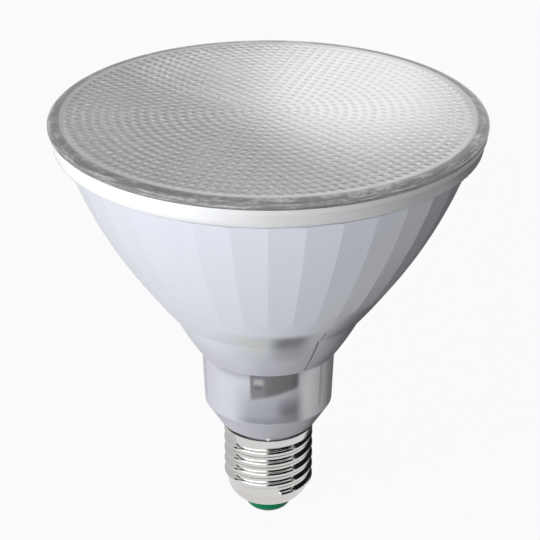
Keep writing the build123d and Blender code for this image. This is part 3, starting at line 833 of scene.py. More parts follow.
@dataclass(frozen=True)
class CircuitBoard(Finish):
    """Board laminate with a woven glass grain and paler copper tracks under the lacquer.

    Attributes:
        track: Colour of the tracks.
        weave: Spacing of the glass weave in millimetres.
    """

    track: Colour = tone(62, 128, 84)
    weave: float = 0.6

    def build(self, shader: Shader) -> Field:
        """Builds the lacquered board with its tracks and weave.

        Args:
            shader: The shader of the finish's material.

        Returns:
            The surface.
        """
        place = shader.place()
        x, y, _ = shader.parts(place)
        bend = (shader.noise(place, 5.0, 1.0) - 0.5) * 1.5
        lanes = ((x + bend) * 1.25).of("SINE") * ((y - bend) * 0.8).of("SINE")
        tracks = shader.rise(lanes, 0.12, 0.2)
        cloth = (x * (math.tau / self.weave)).of("SINE") * (y * (math.tau / self.weave)).of("SINE")
        colour = shader.blend(tracks, self.colour, self.track)
        return shader.surface(
            Base_Color=shader.tint(colour, cloth * 0.05 + 1.0),
            Roughness=tracks * 0.1 + 0.3,
            Coat_Weight=0.5,
            Coat_Roughness=0.15,
            Normal=shader.bump(tracks + cloth * 0.1, 0.04, 0.7),
        )


def dress(finish: Finish, *names: str) -> None:
    """Gives CAD nodes one finish in place of their packed ones.

    Args:
        finish: The finish.
        names: The nodes' names.
    """
    worn = finish.make()
    for name in names:
        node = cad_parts[name]
        node.data.materials.clear()
        node.data.materials.append(worn)
        LOG.info("%s wears %s", name, finish.name)


class Wardrobe(Enum):
    """Every finish of the lamp, apart from the milky housing with its painted shade and light."""

    LENS = ClearLens("clear lens", (0.97, 0.97, 0.975))
    MIRROR = MirrorCoat("mirror coat", tone(250, 250, 250))
    CAP = CapNickel("cap nickel", tone(212, 210, 208))
    CONTACT = Metal("contact nickel", tone(206, 204, 201), 0.28, 0.12)
    SOLDER = Metal("solder", tone(196, 197, 200), 0.38, 0.2, 0.02, 0.15)
    GREEN = Plastic("green insulator", tone(0, 114, 73), 0.4, 0.1, 3.0, 0.006, 0.0, 0.1)
    BEZEL = RingPlastic("bezel plastic", tone(250, 252, 255))
    SEAL = Plastic("seal rubber", tone(176, 176, 178), 0.6, 0.08, 2.0, 0.02)
    SINK = Metal("sink aluminium", tone(206, 207, 208), 0.34, 0.18, 0.006)
    STEEL = Metal("zinc steel", tone(190, 190, 194), 0.3, 0.14, 0.006, 0.12)
    PAD = Plastic("thermal pad", tone(150, 154, 160), 0.75, 0.1, 1.2, 0.04)
    PLATE = Plastic("white ceramic", tone(232, 232, 228), 0.42, 0.05, 1.5, 0.01)
    PHOSPHOR = Plastic("phosphor", tone(232, 214, 140), 0.55, 0.06, 0.8, 0.03)
    HOLDER = Plastic("holder plastic", tone(228, 228, 224), 0.36, 0.05, 3.0, 0.01)
    BOARD = CircuitBoard("driver laminate", tone(30, 96, 58))
    FERRITE = Plastic("ferrite", tone(74, 74, 78), 0.62, 0.16, 0.7, 0.03)
    BOBBIN = Plastic("bobbin plastic", tone(66, 66, 68), 0.4, 0.08, 2.0, 0.01)
    TAPE = Winding("yellow tape", tone(216, 196, 84), 1.6, False, 0.0, 0.3)
    COPPER = Winding("copper wire", tone(186, 108, 66), 0.45, True, 0.9, 0.3)
    CAN = Plastic("can sleeve", tone(44, 44, 48), 0.3, 0.1, 2.5, 0.008, 0.3)
    FILM = Plastic("film capacitor", tone(206, 170, 40), 0.3, 0.08, 1.5, 0.02, 0.4)
    CHIP = Plastic("chip plastic", tone(38, 38, 40), 0.55, 0.12, 0.5, 0.03)
    RESISTOR = Plastic("resistor lacquer", tone(96, 146, 176), 0.3, 0.1, 1.0, 0.02, 0.3)
    VARISTOR = Plastic("varistor lacquer", tone(40, 92, 152), 0.3, 0.1, 1.5, 0.03, 0.4)
    WHITE_WIRE = Plastic("white wire sleeve", tone(224, 224, 222), 0.4, 0.06, 1.0, 0.01)
    DARK_WIRE = Plastic("dark wire sleeve", tone(52, 50, 54), 0.4, 0.08, 1.0, 0.01)

    def dress(self, *names: str) -> None:
        """Gives CAD nodes this finish."""
        dress(self.value, *names)


class Piece:
    """A new mesh piece that is made from arrays of points and faces."""

    def __init__(self, name: str, points: np.ndarray, faces: np.ndarray, crease: float = 35.0) -> None:
        """Makes the mesh and its object.

        Args:
            name: The piece's name.
            points: Points in millimetres, one row each.
            faces: Triangles or quadrilaterals as rows of point numbers.
            crease: Angle in degrees past which an edge stays sharp.
        """
        corners = faces.shape[1]
        mesh = bpy.data.meshes.new(name)
        mesh.vertices.add(len(points))
        mesh.vertices.foreach_set("co", (points * MILLIMETRE).astype(np.float32).ravel())
        mesh.loops.add(faces.size)
        mesh.loops.foreach_set("vertex_index", faces.astype(np.int32).ravel())
        mesh.polygons.add(len(faces))
        mesh.polygons.foreach_set("loop_start", np.arange(0, faces.size, corners, dtype=np.int32))
        mesh.polygons.foreach_set("use_smooth", np.ones(len(faces), dtype=bool))
        mesh.update(calc_edges=True)
        mesh.validate()
        mesh.set_sharp_from_angle(angle=math.radians(crease))
        self.shape = bpy.data.objects.new(name, mesh)
        bpy.context.scene.collection.objects.link(self.shape)

    def note(self, name: str, values: np.ndarray) -> None:
        """Stores one value a point for the piece's finish to read."""
        layer = self.shape.data.attributes.new(name, "FLOAT", "POINT")
        layer.data.foreach_set("value", values.astype(np.float32))

    def wear(self, finish: Wardrobe, slot: str) -> None:
        """Gives the piece a finish. The slot's name is not used."""
        self.shape.data.materials.append(finish.value.make())


def ring(radius: np.ndarray | float, turn: np.ndarray, height: np.ndarray | float) -> np.ndarray:
    """Places points round the axis, to the right by the azimuth's sine and to the front by its cosine.

    Args:
        radius: Distance from the axis.
        turn: Azimuth in radians, 0 at the front and positive to the right.
        height: Height.

    Returns:
        The points, with their three coordinates along the last axis.
    """
    return np.stack(np.broadcast_arrays(radius * np.sin(turn), -radius * np.cos(turn), height), axis=-1)


@dataclass
class FrontLens:
    """The pressed lens with rings of round dimples, its seal and the reflector under it.

    Attributes:
        rings: Number of rings of dimples round the middle one.
        spokes: How many more dimples each ring has than the one inside it.
        lead: Azimuth where neighbouring rings are staggered, in degrees.
        pitch: Distance between rings.
        steps: Mesh rings for each ring of dimples.
        dimple_radius: Radius of a dimple.
        dimple_depth: Depth of a dimple.
        wall: Where a dimple's wall is strongest and how far it reaches from there, in dimple radii.
        middle: Where a dimple's middle has faded out and the width over which it fades, in dimple radii.
        face_radius: Radius where the face meets the rim.
        face_height: Height of the face's edge.
        crown: Height of the middle of the face over its edge.
        roll: How far the rolled rim runs out past the face, and down from it.
        roll_power: How round the roll is, 1 for a quarter of an ellipse and less for a fuller one.
        border_steps: Faces from the last dimples to the roll.
        roll_steps: Faces round the roll.
        skirt: Radius and height of the corners from the rim round the skirt to the flat back.
    """

    rings: int = 21
    spokes: int = 6
    lead: float = 12.0
    pitch: float = 2.64
    steps: int = 7
    dimple_radius: float = 1.12
    dimple_depth: float = 0.27
    wall: tuple[float, float] = (0.72, 0.34)
    middle: tuple[float, float] = (0.8, 0.35)
    face_radius: float = 58.7
    face_height: float = 127.9
    crown: float = 0.7
    roll: tuple[float, float] = (2.2, 1.3)
    roll_power: float = 0.9
    border_steps: int = 4
    roll_steps: int = 8
    skirt: tuple[tuple[float, float], ...] = (
        (60.82, 126.1),
        (60.5, 125.7),
        (57.9, 125.7),
        (57.9, 124.0),
        (55.9, 124.0),
        (55.9, 126.1),
        (28.0, 126.1),
    )

    def _disc(self) -> tuple[np.ndarray, np.ndarray]:
        """Lays out a disc of rings in which ring k has six k points.

        Returns:
            The points' ring numbers and places round their ring as columns, and the triangles.
        """
        rings = np.arange(self.rings * self.steps + 1)
        ring_of = np.repeat(rings, np.maximum(6 * rings, 1))
        first = np.where(rings > 0, 1 + 3 * rings * (rings - 1), 0)
        spot = np.arange(len(ring_of)) - first[ring_of]

        def number(k: np.ndarray, place: np.ndarray) -> np.ndarray:
            """Numbers the point at a place round ring k."""
            return first[k] + np.mod(place, np.maximum(6 * k, 1))

        k, place = ring_of[1:], spot[1:]
        sector, step = place // k, place % k
        inner = sector * (k - 1) + step
        outward = np.stack([number(k - 1, inner), number(k, place), number(k, place + 1)], axis=1)
        between = step < k - 1
        k, place, inner = k[between], place[between], inner[between]
        inward = np.stack([number(k - 1, inner), number(k, place + 1), number(k - 1, inner + 1)], axis=1)
        return np.stack([ring_of, spot], axis=1), np.concatenate([outward, inward])

    def _dimples(self, radius: np.ndarray, turn: np.ndarray) -> tuple[np.ndarray, np.ndarray, np.ndarray]:
        """Finds how each point lies in the nearest dimple.

        A dimple's depth falls with the square of the distance to its middle.

        Args:
            radius: The points' distance from the axis.
            turn: Their azimuth in radians.

        Returns:
            The depth, and how strongly the point lies on the far wall and in the middle, 0 to 1.
        """
        nearest = np.full(radius.shape, np.inf)
        back = np.zeros(radius.shape)
        inside = np.floor(radius / self.pitch)
        for row in (inside, inside + 1):
            step = math.tau / np.maximum(self.spokes * row, 1)
            start = math.radians(self.lead) + step * np.mod(row, 2) / 2
            angle = np.round((turn - start) / step) * step + start
            reach = row * self.pitch
            gap = radius**2 + reach**2 - 2 * radius * reach * np.cos(turn - angle)
            closer = (gap < nearest) & (row <= self.rings)
            back = np.where(closer, reach * np.cos(angle) - radius * np.cos(turn), back)
            nearest = np.where(closer, gap, nearest)
        share = np.sqrt(nearest) / self.dimple_radius
        wall = np.clip(1.0 - np.abs(share - self.wall[0]) / self.wall[1], 0.0, 1.0)
        lean = back / np.maximum(np.sqrt(nearest), 0.05)
        far_wall = wall * np.clip(lean * 1.6 - 0.4, 0.0, 1.0)
        middle = np.clip((self.middle[0] - share) / self.middle[1], 0.0, 1.0)
        return self.dimple_depth * np.clip(1.0 - share**2, 0.0, None), far_wall, middle

    def _face(self) -> tuple[np.ndarray, np.ndarray, np.ndarray, np.ndarray]:
        """Makes the dimpled face, a dome whose drop goes with the square of the radius, less the dimples.

        Returns:
            The points, the triangles, and for each point how strongly it is on a far wall and in a middle.
        """
        grid, faces = self._disc()
        turn = grid[:, 1] * math.tau / np.maximum(6 * grid[:, 0], 1)
        radius = grid[:, 0] * self.pitch / self.steps
        depth, far_wall, middle = self._dimples(radius, turn)
        return ring(radius, turn, self._dome(radius) - depth), faces, far_wall, middle

    def _dome(self, radius: np.ndarray) -> np.ndarray:
        """Gives the height of the plain dome, which falls from the crown with the square of the radius."""
        return self.face_height + self.crown * (1.0 - (radius / self.face_radius) ** 2)

    def _rim(self, inner: float) -> np.ndarray:
        """Draws the rim's outline: the dome's border, a rolled edge by sine and cosine, and the skirt.

        Args:
            inner: Radius of the last dimples.

        Returns:
            Radius and height of each corner, from the last dimples to the middle of the flat back.
        """
        plain = np.linspace(inner, self.face_radius, self.border_steps + 1)[1:]
        quarter = np.linspace(0.0, 1.0, self.roll_steps + 1)[1:] * math.pi / 2
        out = self.face_radius + self.roll[0] * np.sin(quarter) ** self.roll_power
        down = self.face_height - self.roll[1] * (1.0 - np.cos(quarter)) ** self.roll_power
        border = np.column_stack([plain, self._dome(plain)])
        return np.concatenate([border, np.column_stack([out, down]), np.array(self.skirt)])

    def build(self) -> Piece:
        """Joins the dimpled face, the rim, the skirt and the flat back into one closed shell.

        Returns:
            The lens.
        """
        points, faces, far_wall, middle = self._face()
        around = 6 * self.rings * self.steps
        start = len(points) - around
        line = self._rim(self.rings * self.pitch)
        turn = np.arange(around) * math.tau / around
        rows = ring(line[:, :1], turn, line[:, 1:]).reshape(-1, 3)
        count = len(points) + len(rows)
        level = np.repeat(np.arange(len(line)), around) * around + start
        here = np.tile(np.arange(around), len(line))
        after = (here + 1) % around
        lower = np.stack([level + here, level + around + here, level + around + after], axis=1)
        upper = np.stack([level + here, level + around + after, level + after], axis=1)
        last = count - around + np.arange(around)
        back = np.stack([last, np.full(around, count), np.roll(last, -1)], axis=1)
        pole = np.array([[0.0, 0.0, line[-1, 1]]])
        shell = np.concatenate([faces, lower, upper, back])
        piece = Piece("dimpled_lens", np.concatenate([points, rows, pole]), shell)
        rest = np.zeros(len(rows) + 1)
        # The lens's finish paints shade on the dimples' far walls and highlights in their middles.
        piece.note("far_wall", np.concatenate([far_wall, rest]))
        piece.note("middle", np.concatenate([middle, rest]))
        piece.wear(Wardrobe.LENS, "lens_clear")
        piece.shape.visible_shadow = False
        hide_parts("lens")
        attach(piece.shape, "root")
        Wardrobe.MIRROR.dress("reflector")
        Wardrobe.SEAL.dress("lens_seal")
        return piece


@dataclass
class Housing:
    """The milky neck, bowl and faceted shell with the bezel ring.

    Attributes:
        colour: Colour of the faceted shell.
    """

    colour: Colour = tone(218, 221, 231)

    def _shadows(self) -> tuple[Shadow, ...]:
        """Lists the patches of painted shade and light, most of them the inner parts' shadows, front first
        and then the sides and back.

        Returns:
            The shapes.
        """
        # Colours of the painted shadows.
        dark = tone(78, 80, 86)
        grey = tone(128, 130, 136)
        soft = tone(150, 151, 156)
        return (
            # Painted shade on the neck's foot, all round.
            Shadow(-200.0, 200.0, 20.0, 39.2, 0.26, 1.0, 1.0, 1.2, grey),
            # The painted shadow in the bowl: a dark patch with fainter ones round it.
            Shadow(-24.0, 34.0, 64.0, 75.4, 0.2, 24.0, 10.0, 3.0, soft),
            Shadow(3.0, 20.5, 68.8, 74.4, 0.86, 11.0, 6.4, 3.2, dark),
            Shadow(3.0, 22.0, 64.0, 71.0, 0.4, 12.0, 6.0, 5.0, dark),
            Shadow(-16.0, 0.0, 67.5, 74.6, 0.2, 10.0, 6.0, 4.0, tone(196, 202, 140)),
            Shadow(-10.0, 44.0, 57.0, 67.0, 0.18, 14.0, 6.0, 6.0, grey),
            Shadow(36.0, 84.0, 66.0, 79.5, 0.62, 16.0, 9.0, 6.0, grey),
            # Painted shade in the seam groove, as a dark line.
            Shadow(29.3, 30.7, 58.6, 73.6, 0.55, 0.9, 1.0, 1.0, tone(84, 84, 92)),
            # The painted shadow of the square block in the neck, with darker edges and a small pale window of
            # painted light.
            Shadow(-15.5, 27.0, 48.5, 58.0, 0.88, 3.4, 1.8, 1.0, tone(96, 95, 98), 0.085),
            Shadow(-2.0, 26.0, 49.2, 58.0, 0.6, 7.0, 1.8, 1.0, tone(92, 84, 78), 0.085),
            Shadow(-3.0, 25.0, 48.7, 51.2, 0.4, 6.0, 2.0, 2.4, tone(60, 56, 58), 0.085),
            Shadow(20.5, 27.0, 49.0, 58.0, 0.4, 5.0, 2.6, 1.0, tone(60, 58, 60), 0.085),
            Shadow(-15.6, -13.6, 49.6, 58.0, 0.4, 2.2, 2.0, 1.0, tone(70, 70, 72)),
            Shadow(-12.8, -4.2, 52.3, 54.3, 0.5, 4.6, 1.8, 1.6, tone(206, 206, 204)),
            Shadow(-12.0, -6.0, 50.8, 52.0, 0.6, 5.0, 1.6, 1.6, tone(64, 62, 64)),
            # The painted shade under the neck's ledge, and the painted shadow below the block.
            Shadow(-50.0, 50.0, 54.2, 58.0, 0.5, 24.0, 3.2, 0.8, tone(112, 110, 122)),
            Shadow(-26.0, 38.0, 39.2, 50.0, 0.62, 24.0, 1.0, 14.0, grey),
            Shadow(10.0, 29.0, 41.2, 46.5, 0.6, 13.0, 4.0, 6.0, dark),
            Shadow(-24.0, 34.0, 39.4, 41.2, 0.34, 20.0, 0.8, 3.0, dark),
            # Painted light on the bright right of the neck, with its two upright lines.
            Shadow(32.0, 110.0, 39.0, 58.0, 0.9, 18.0, 1.0, 1.0, tone(250, 249, 254)),
            Shadow(32.0, 46.0, 41.0, 52.0, 0.44, 13.0, 6.0, 9.0, tone(244, 246, 236)),
            Shadow(50.4, 53.4, 41.5, 56.5, 0.4, 2.6, 3.0, 2.0, tone(96, 96, 104)),
            Shadow(54.4, 57.4, 41.5, 56.5, 0.3, 2.6, 3.0, 2.0, tone(224, 224, 230)),
            # A faint painted shadow line on the left and two painted shadow patches at the back.
            Shadow(-79.0, -70.0, 41.0, 54.5, 0.3, 4.0, 3.0, 2.0, grey),
            Shadow(120.0, 165.0, 46.0, 56.0, 0.5, 8.0, 4.0, 2.0, grey),
            Shadow(-160.0, -118.0, 62.0, 74.0, 0.4, 8.0, 5.0, 2.0, grey),
        )

    def build(self) -> None:
        """Dresses the housing's nodes."""
        wall = MilkyHousing("milky housing", self.colour, shadows=self._shadows())
        dress(wall, "neck_housing", "lower_bowl", "upper_shell")
        Wardrobe.BEZEL.dress("bezel_ring")


@dataclass
class ScrewBase:
    """The threaded cap, its insulator, the middle contact and the solder on it.

    Attributes:
        root: Radius between the threads.
        crest: Radius over the threads.
        bend: Radius of the thread's rounding.
        pitch: Distance between turns.
        start: Height of the thread's middle where it starts.
        start_turn: Where it starts, in degrees against the clock from the right-hand side.
        turns: Number of turns.
        run_in: How sharply the thread starts, in turns.
        run_out: How slowly it fades at its end, in turns.
        foot: Radius and height of the shell's edge round the insulator.
        lip: Radius and height where its flat foot ends.
        bulge: How far the cup bulges past a straight side.
        barrel: Heights where the threaded barrel starts and ends.
        fade: Heights between which the thread fades in on the cup.
        land: Radius and height of the corners of the plain land at the top.
        lining: Radius and height of the corners down the inside of the sheet, which is 0.3 thick.
        flat_steps: Faces across the flat foot.
        cup_steps: Faces up the cup.
        barrel_steps: Faces up the barrel.
        columns: Points round the axis.
        crease: Angle in degrees past which an edge of the shell stays sharp.
    """

    root: float = 12.13
    crest: float = 13.15
    bend: float = 1.025
    pitch: float = 25.4 / 7
    start: float = 11.2
    start_turn: float = -75.0
    turns: float = 4.4
    run_in: float = 0.012
    run_out: float = 0.16
    foot: tuple[float, float] = (6.9, 5.65)
    lip: tuple[float, float] = (10.0, 6.55)
    bulge: float = 0.35
    barrel: tuple[float, float] = (10.7, 27.2)
    fade: tuple[float, float] = (9.4, 10.2)
    land: tuple[tuple[float, float], ...] = (
        (12.4, 27.41),
        (12.77, 27.7),
        (13.03, 27.9),
        (13.15, 28.05),
        (13.15, 30.2),
    )
    lining: tuple[tuple[float, float], ...] = (
        (12.85, 30.2),
        (12.85, 28.1),
        (11.83, 27.2),
        (11.83, 10.75),
        (9.75, 6.85),
        (6.9, 5.97),
    )
    flat_steps: int = 3
    cup_steps: int = 14
    barrel_steps: int = 141
    columns: int = 432
    crease: float = 50.0

    def _thread(self, turn: np.ndarray, height: np.ndarray) -> np.ndarray:
        """Gives how far the thread stands out of the root.

        The thread's outline is an outward arc that runs on into an inward one. Both ends fade out.

        Args:
            turn: Azimuth in degrees, against the clock from the right-hand side.
            height: Height.

        Returns:
            The thread's height over the root.
        """
        lead = np.mod(turn - self.start_turn, 360.0) / 360.0
        whole = np.round((height - self.start) / self.pitch - lead)
        gone = whole + lead
        away = np.abs((height - self.start) / self.pitch - gone) * self.pitch
        half = (self.crest - self.root) / 2.0
        side = math.sqrt(self.bend**2 - (self.bend - half) ** 2)
        outward = 2 * half - self.bend + np.sqrt(np.clip(self.bend**2 - away**2, 0.0, None))
        inward = self.bend - np.sqrt(np.clip(self.bend**2 - (2 * side - away) ** 2, 0.0, None))
        ridge = np.where(away < side, outward, np.where(away < 2 * side, inward, 0.0))
        begin = np.clip(gone / self.run_in + 0.5, 0.0, 1.0)
        end = np.clip((self.turns - gone) / self.run_out, 0.0, 1.0)
        return ridge * begin * end * end * (3.0 - 2.0 * end)

    def _rows(self) -> tuple[np.ndarray, np.ndarray]:
        """Draws the outside of the plain shell from its foot up.

        It has a flat foot, a cup whose bulge over its chord is a parabola, an upright barrel and the land.

        Returns:
            The radii and the heights.
        """
        foot, lip = np.array(self.foot), np.array(self.lip)
        chord = np.array([self.root, self.barrel[0]]) - lip
        side = np.array([chord[1], -chord[0]]) / np.hypot(*chord)
        share = np.linspace(0.0, 1.0, self.cup_steps + 1)[:, None]
        cup = lip + chord * share + side * self.bulge * 4.0 * share * (1.0 - share)
        zone = np.linspace(*self.barrel, self.barrel_steps + 1)[1:]
        barrel = np.column_stack([np.full(len(zone), self.root), zone])
        flat = foot + (lip - foot) * np.linspace(0.0, 1.0, self.flat_steps + 1)[:-1, None]
        rows = np.concatenate([flat, cup, barrel, np.array(self.land)])
        return rows[:, 0], rows[:, 1]

    def _shell(self) -> Piece:
        """Rolls the shell as one closed sheet, out over the thread and back inside it.

        A point's radius is the plain shell's and the thread's together, up to the crest.

        Returns:
            The shell.
        """
        radius, height = self._rows()
        turn = np.arange(self.columns) * 360.0 / self.columns
        low, high = self.fade
        shown = np.clip((height - low) / (high - low), 0.0, 1.0)[:, None]
        ridge = self._thread(turn[None, :], height[:, None]) * shown
        outer = np.minimum(radius[:, None] + ridge, self.crest)
        inside = np.array(self.lining)
        reach = np.concatenate([outer, np.tile(inside[:, :1], (1, self.columns))])
        level = np.concatenate([height, inside[:, 1]])[:, None] + 0.0 * reach
        angle = np.radians(turn)
        points = np.stack([reach * np.cos(angle), reach * np.sin(angle), level], axis=2)
        row = np.arange(len(level))[:, None] * self.columns
        above = np.roll(row, -1, axis=0)
        here = np.arange(self.columns)[None, :]
        after = (here + 1) % self.columns
        faces = np.stack([row + here, row + after, above + after, above + here], axis=2).reshape(-1, 4)
        return Piece("rolled_cap", points.reshape(-1, 3), faces, self.crease)

    def build(self) -> None:
        """Makes the rolled cap and dresses the nodes under it."""
        cap = self._shell()
        cap.wear(Wardrobe.CAP, "cap_nickel")
        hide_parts("screw_shell")
        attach(cap.shape, "root")
        Wardrobe.CONTACT.dress("centre_contact")
        Wardrobe.SOLDER.dress("contact_solder")
        Wardrobe.GREEN.dress("cap_insulator")


class LightEngine:
    """The heat sink with the emitter and its holder."""

    def build(self) -> None:
        """Dresses the nodes of the heat sink and the emitter."""
        Wardrobe.SINK.dress("heat_sink")
        Wardrobe.STEEL.dress("heat_sink_screws", "holder_screws")
        Wardrobe.PAD.dress("thermal_pad")
        Wardrobe.PLATE.dress("emitter_plate")
        Wardrobe.PHOSPHOR.dress("phosphor_disc")
        Wardrobe.HOLDER.dress("emitter_holder")


class Driver:
    """The driver board with its parts and leads."""

    def build(self) -> None:
        """Dresses the nodes of the driver."""
        Wardrobe.BOARD.dress("driver_board")
        Wardrobe.FERRITE.dress("transformer_core", "choke_drum")
        Wardrobe.BOBBIN.dress("transformer_bobbin")
        Wardrobe.TAPE.dress("transformer_winding")
        Wardrobe.COPPER.dress("choke_winding")
        Wardrobe.CAN.dress("filter_capacitor", "bulk_capacitor")
        Wardrobe.FILM.dress("film_capacitor")
        Wardrobe.CHIP.dress("bridge_rectifier", "driver_chip")
        Wardrobe.RESISTOR.dress("fuse_resistor")
        Wardrobe.VARISTOR.dress("varistor")
        Wardrobe.DARK_WIRE.dress("live_wire")
        Wardrobe.WHITE_WIRE.dress("neutral_wire", "lamp_wires")


@dataclass(frozen=True)
class Card:
    """A curved studio card that only reflections show.

    Attributes:
        name: The card's name.
        first: Azimuth of its first side in degrees, 0 towards the camera and positive to the right.
        last: Azimuth of its last side.
        inner: Distance and height of its inner or lower edge in metres.
        outer: Distance and height of its outer or upper edge in metres.
        shade: How bright the card is, 0 to 1.
        fade_in: Degrees over which it darkens from white at its first side.
        fade_out: Degrees over which it turns white at its last side.
        steps: Faces along it.
    """

    name: str
    first: float
    last: float
    inner: tuple[float, float]
    outer: tuple[float, float]
    shade: float = 0.012
    fade_in: float = 0.0
    fade_out: float = 0.0
    steps: int = 24

    def _felt(self, shader: Shader) -> Field:
        """Builds the card's unlit felt, which can fade to white at both sides.

        Args:
            shader: The shader of the card's material.

        Returns:
            The surface.
        """
        level = ((shader.noise(shader.place(), 2.0, 3.0) - 0.5) * 0.2 + 1.0) * self.shade
        turn, _, _ = shader.around()
        if self.fade_in:
            level = level.larger(1.0 - shader.rise(turn, self.first, self.first + self.fade_in))
        if self.fade_out:
            level = level.larger(shader.rise(turn, self.last - self.fade_out, self.last))
        return shader.light(level)

    def build(self) -> None:
        """Hangs the card and hides it from all but reflections."""
        turn = np.radians(np.linspace(self.first, self.last, self.steps + 1))
        edges = [ring(reach, turn, height) for reach, height in (self.inner, self.outer)]
        at = np.arange(self.steps)
        across = at + self.steps + 1
        faces = np.stack([at, at + 1, across + 1, across], axis=1)
        card = Piece(self.name, np.concatenate(edges) / MILLIMETRE, faces).shape
        card.data.materials.append(material(self.name, self._felt))
        card.visible_camera = False
        card.visible_diffuse = False
        card.visible_transmission = False
        card.visible_shadow = False
        card.visible_volume_scatter = False
        card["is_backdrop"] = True


@dataclass(frozen=True)
class Lamp:
    """A soft rectangular lamp that faces the middle of the object and shows in no reflection.

    Attributes:
        name: The lamp's name.
        watts: Its power.
        width: Its width in metres.
        height: Its height in metres.
        turn: Its azimuth in degrees, 0 towards the camera and positive to the right.
        rise: Its angle above the horizon in degrees.
        reach: Its distance in metres.
    """

    name: str
    watts: float
    width: float
    height: float
    turn: float
    rise: float
    reach: float

    def build(self, aim: float) -> None:
        """Hangs the lamp.

        Args:
            aim: Height in metres of the point that it faces.
        """
        light = bpy.data.lights.new(self.name, "AREA")
        light.energy = self.watts
        light.shape = "RECTANGLE"
        light.size = self.width
        light.size_y = self.height
        lamp = bpy.data.objects.new(self.name, light)
        azimuth, angle = math.radians(self.turn), math.radians(self.rise)
        out, up = self.reach * math.cos(angle), self.reach * math.sin(angle)
        lamp.location = (out * math.sin(azimuth), -out * math.cos(azimuth), aim + up)
        lamp.rotation_euler = (math.pi / 2 - angle, 0.0, azimuth)
        lamp.visible_glossy = False
        bpy.context.scene.collection.objects.link(lamp)


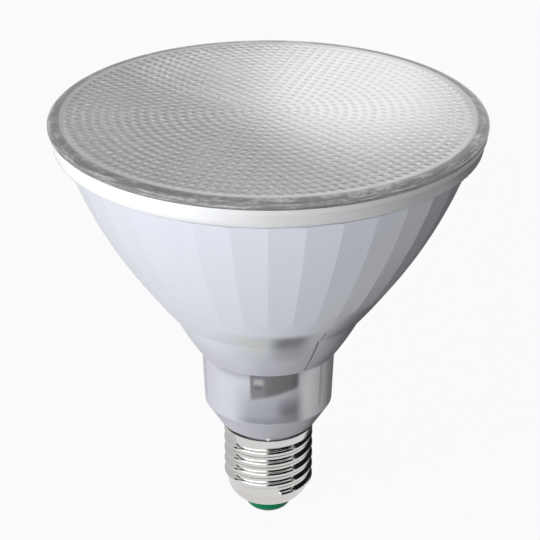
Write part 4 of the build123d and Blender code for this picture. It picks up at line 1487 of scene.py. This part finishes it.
@dataclass
class Studio:
    """Floor, cards, lamps, surroundings and camera.

    Attributes:
        floor_reach: Half the floor's side in metres.
        floor_drop: Distance of the floor below the contact in metres.
        floor_white: How much of the floor is plain white for the camera, the rest takes light and shadow.
        surround: Strength of the light from all round.
        surround_lean: How much stronger that light is from the upper left front.
        surround_way: Direction of that stronger light, right, back and up.
        elevation: Camera's angle above the horizon in degrees.
        distance: Camera's distance from the point that it looks at, in metres.
        aim: Height of that point in metres.
        focal: Focal length in millimetres.
        sensor: Width of the sensor in millimetres.
        shift: Sideways shift of the picture as a share of its width.
        lamps: The large lamp at the left front and the weaker one at the back.
        cards: The cards that the metal reflects, black on the right with a bright gap and grey on the left.
    """

    floor_reach: float = 4.0
    floor_drop: float = 0.0002
    floor_white: float = 0.95
    surround: float = 0.09
    surround_lean: float = 0.04
    surround_way: tuple[float, float, float] = (-0.687, -0.641, 0.342)
    elevation: float = 26.1334
    distance: float = 0.57303
    aim: float = 0.079585
    focal: float = 133.333
    sensor: float = 36.0
    shift: float = 0.00315
    lamps: tuple[Lamp, ...] = (
        Lamp("key", 33.0, 2.0, 0.5, -37.0, 11.0, 1.6),
        Lamp("fill", 17.0, 1.4, 0.5, 178.0, 11.0, 1.6),
    )
    cards: tuple[Card, ...] = (
        Card("card_front_right", -9.0, 62.0, (0.3, 0.0), (0.068, 0.112), fade_in=9.0),
        Card("card_right", 65.5, 178.0, (0.3, 0.0), (0.068, 0.112)),
        Card("card_floor_right", 92.0, 178.0, (0.012, 0.0005), (0.3, 0.0005), 0.06, fade_in=36.0),
        Card("card_left", -95.0, -83.0, (0.3, 0.0), (0.068, 0.112)),
        Card("card_back_left", -176.0, -96.0, (1.5, 0.0), (0.9, 1.4), 0.7, fade_out=34.0),
        Card("card_floor_left", -176.0, -78.0, (0.03, 0.0005), (1.5, 0.0005), 0.7, fade_out=44.0),
        Card("card_glint", -72.0, -5.0, (0.2, 0.074), (0.11, 0.106), 2.4),
    )

    def _camera(self) -> None:
        """Sets the camera at the viewing angle."""
        camera = bpy.data.cameras.new("camera")
        camera.lens = self.focal
        camera.sensor_width = self.sensor
        camera.shift_x = self.shift
        camera.clip_start = 0.01
        camera.clip_end = 50.0
        holder = bpy.data.objects.new("camera", camera)
        tilt = math.radians(self.elevation)
        back = -self.distance * math.cos(tilt)
        holder.location = (0.0, back, self.aim + self.distance * math.sin(tilt))
        holder.rotation_euler = (math.pi / 2 - tilt, 0.0, 0.0)
        bpy.context.scene.collection.objects.link(holder)
        bpy.context.scene.camera = holder

    def _seen_white(self, shader: Shader) -> Field:
        """Finds the rays that see white: the camera's, a reflection's or those through glass.

        Args:
            shader: The shader of the floor or of the surroundings.

        Returns:
            1 for such a ray and 0 for light.
        """
        path = shader.node("ShaderNodeLightPath")
        camera, glossy, through = (
            Field(shader, path.outputs[f"Is {ray} Ray"]) for ray in ("Camera", "Glossy", "Transmission")
        )
        return camera.larger(glossy).larger(through)

    def _paper(self, shader: Shader) -> Field:
        """Builds the floor's surface, white to the eye and matt to the light.

        Args:
            shader: The shader of the floor's material.

        Returns:
            The surface.
        """
        grain = shader.noise(shader.place(), 3.0, 3.0) * 0.1
        matt = shader.surface(Base_Color=shader.blend(grain, (0.32,) * 3, (0.27,) * 3), Roughness=0.9)
        return shader.layer(self._seen_white(shader) * self.floor_white, matt, shader.light((1.0, 1.0, 1.0)))

    def _floor(self) -> None:
        """Lays the plain pale floor."""
        side = np.array([[-1.0, -1.0], [1.0, -1.0], [1.0, 1.0], [-1.0, 1.0]]) * self.floor_reach
        points = np.column_stack([side, np.full(4, -self.floor_drop)]) / MILLIMETRE
        floor = Piece("floor", points, np.arange(4)[None, :]).shape
        floor.data.materials.append(material("floor", self._paper))
        floor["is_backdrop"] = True

    def _surroundings(self) -> None:
        """Lights the scene softly from all round and shows white to the camera and to reflections."""
        world = bpy.data.worlds.new("studio")
        bpy.context.scene.world = world
        world.use_nodes = True
        shader = Shader(world.node_tree)
        x, y, z = shader.parts(shader.field("ShaderNodeTexCoord", output="Generated"))
        right, back, up = self.surround_way
        level = (x * right + y * back + z * up).larger(0.0) * self.surround_lean + self.surround
        light = shader.field("ShaderNodeBackground", inputs={"Color": shader.vector(level, level, level)})
        white = shader.field("ShaderNodeBackground", inputs={"Color": (1.0, 1.0, 1.0), "Strength": 1.0})
        both = shader.layer(self._seen_white(shader), light, white)
        shader.node("ShaderNodeOutputWorld", inputs={"Surface": both})

    def build(self) -> None:
        """Sets up the whole studio."""
        bpy.context.scene.view_settings.view_transform = "Standard"
        self._camera()
        self._floor()
        self._surroundings()
        for card in self.cards:
            card.build()
        for lamp in self.lamps:
            lamp.build(self.aim)


def corners() -> list[list[float]]:
    """Gives the lowest and highest corner of what is shown, as plain lists."""
    return [[round(value, 6) for value in corner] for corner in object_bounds()]


def main() -> None:
    """Builds the studio and every sub-assembly."""
    logging.basicConfig(level=logging.INFO, format="%(name)s: %(message)s")
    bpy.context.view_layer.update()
    Studio().build()
    FrontLens().build()
    Housing().build()
    ScrewBase().build()
    LightEngine().build()
    Driver().build()


if __name__ == "__main__":
    main()
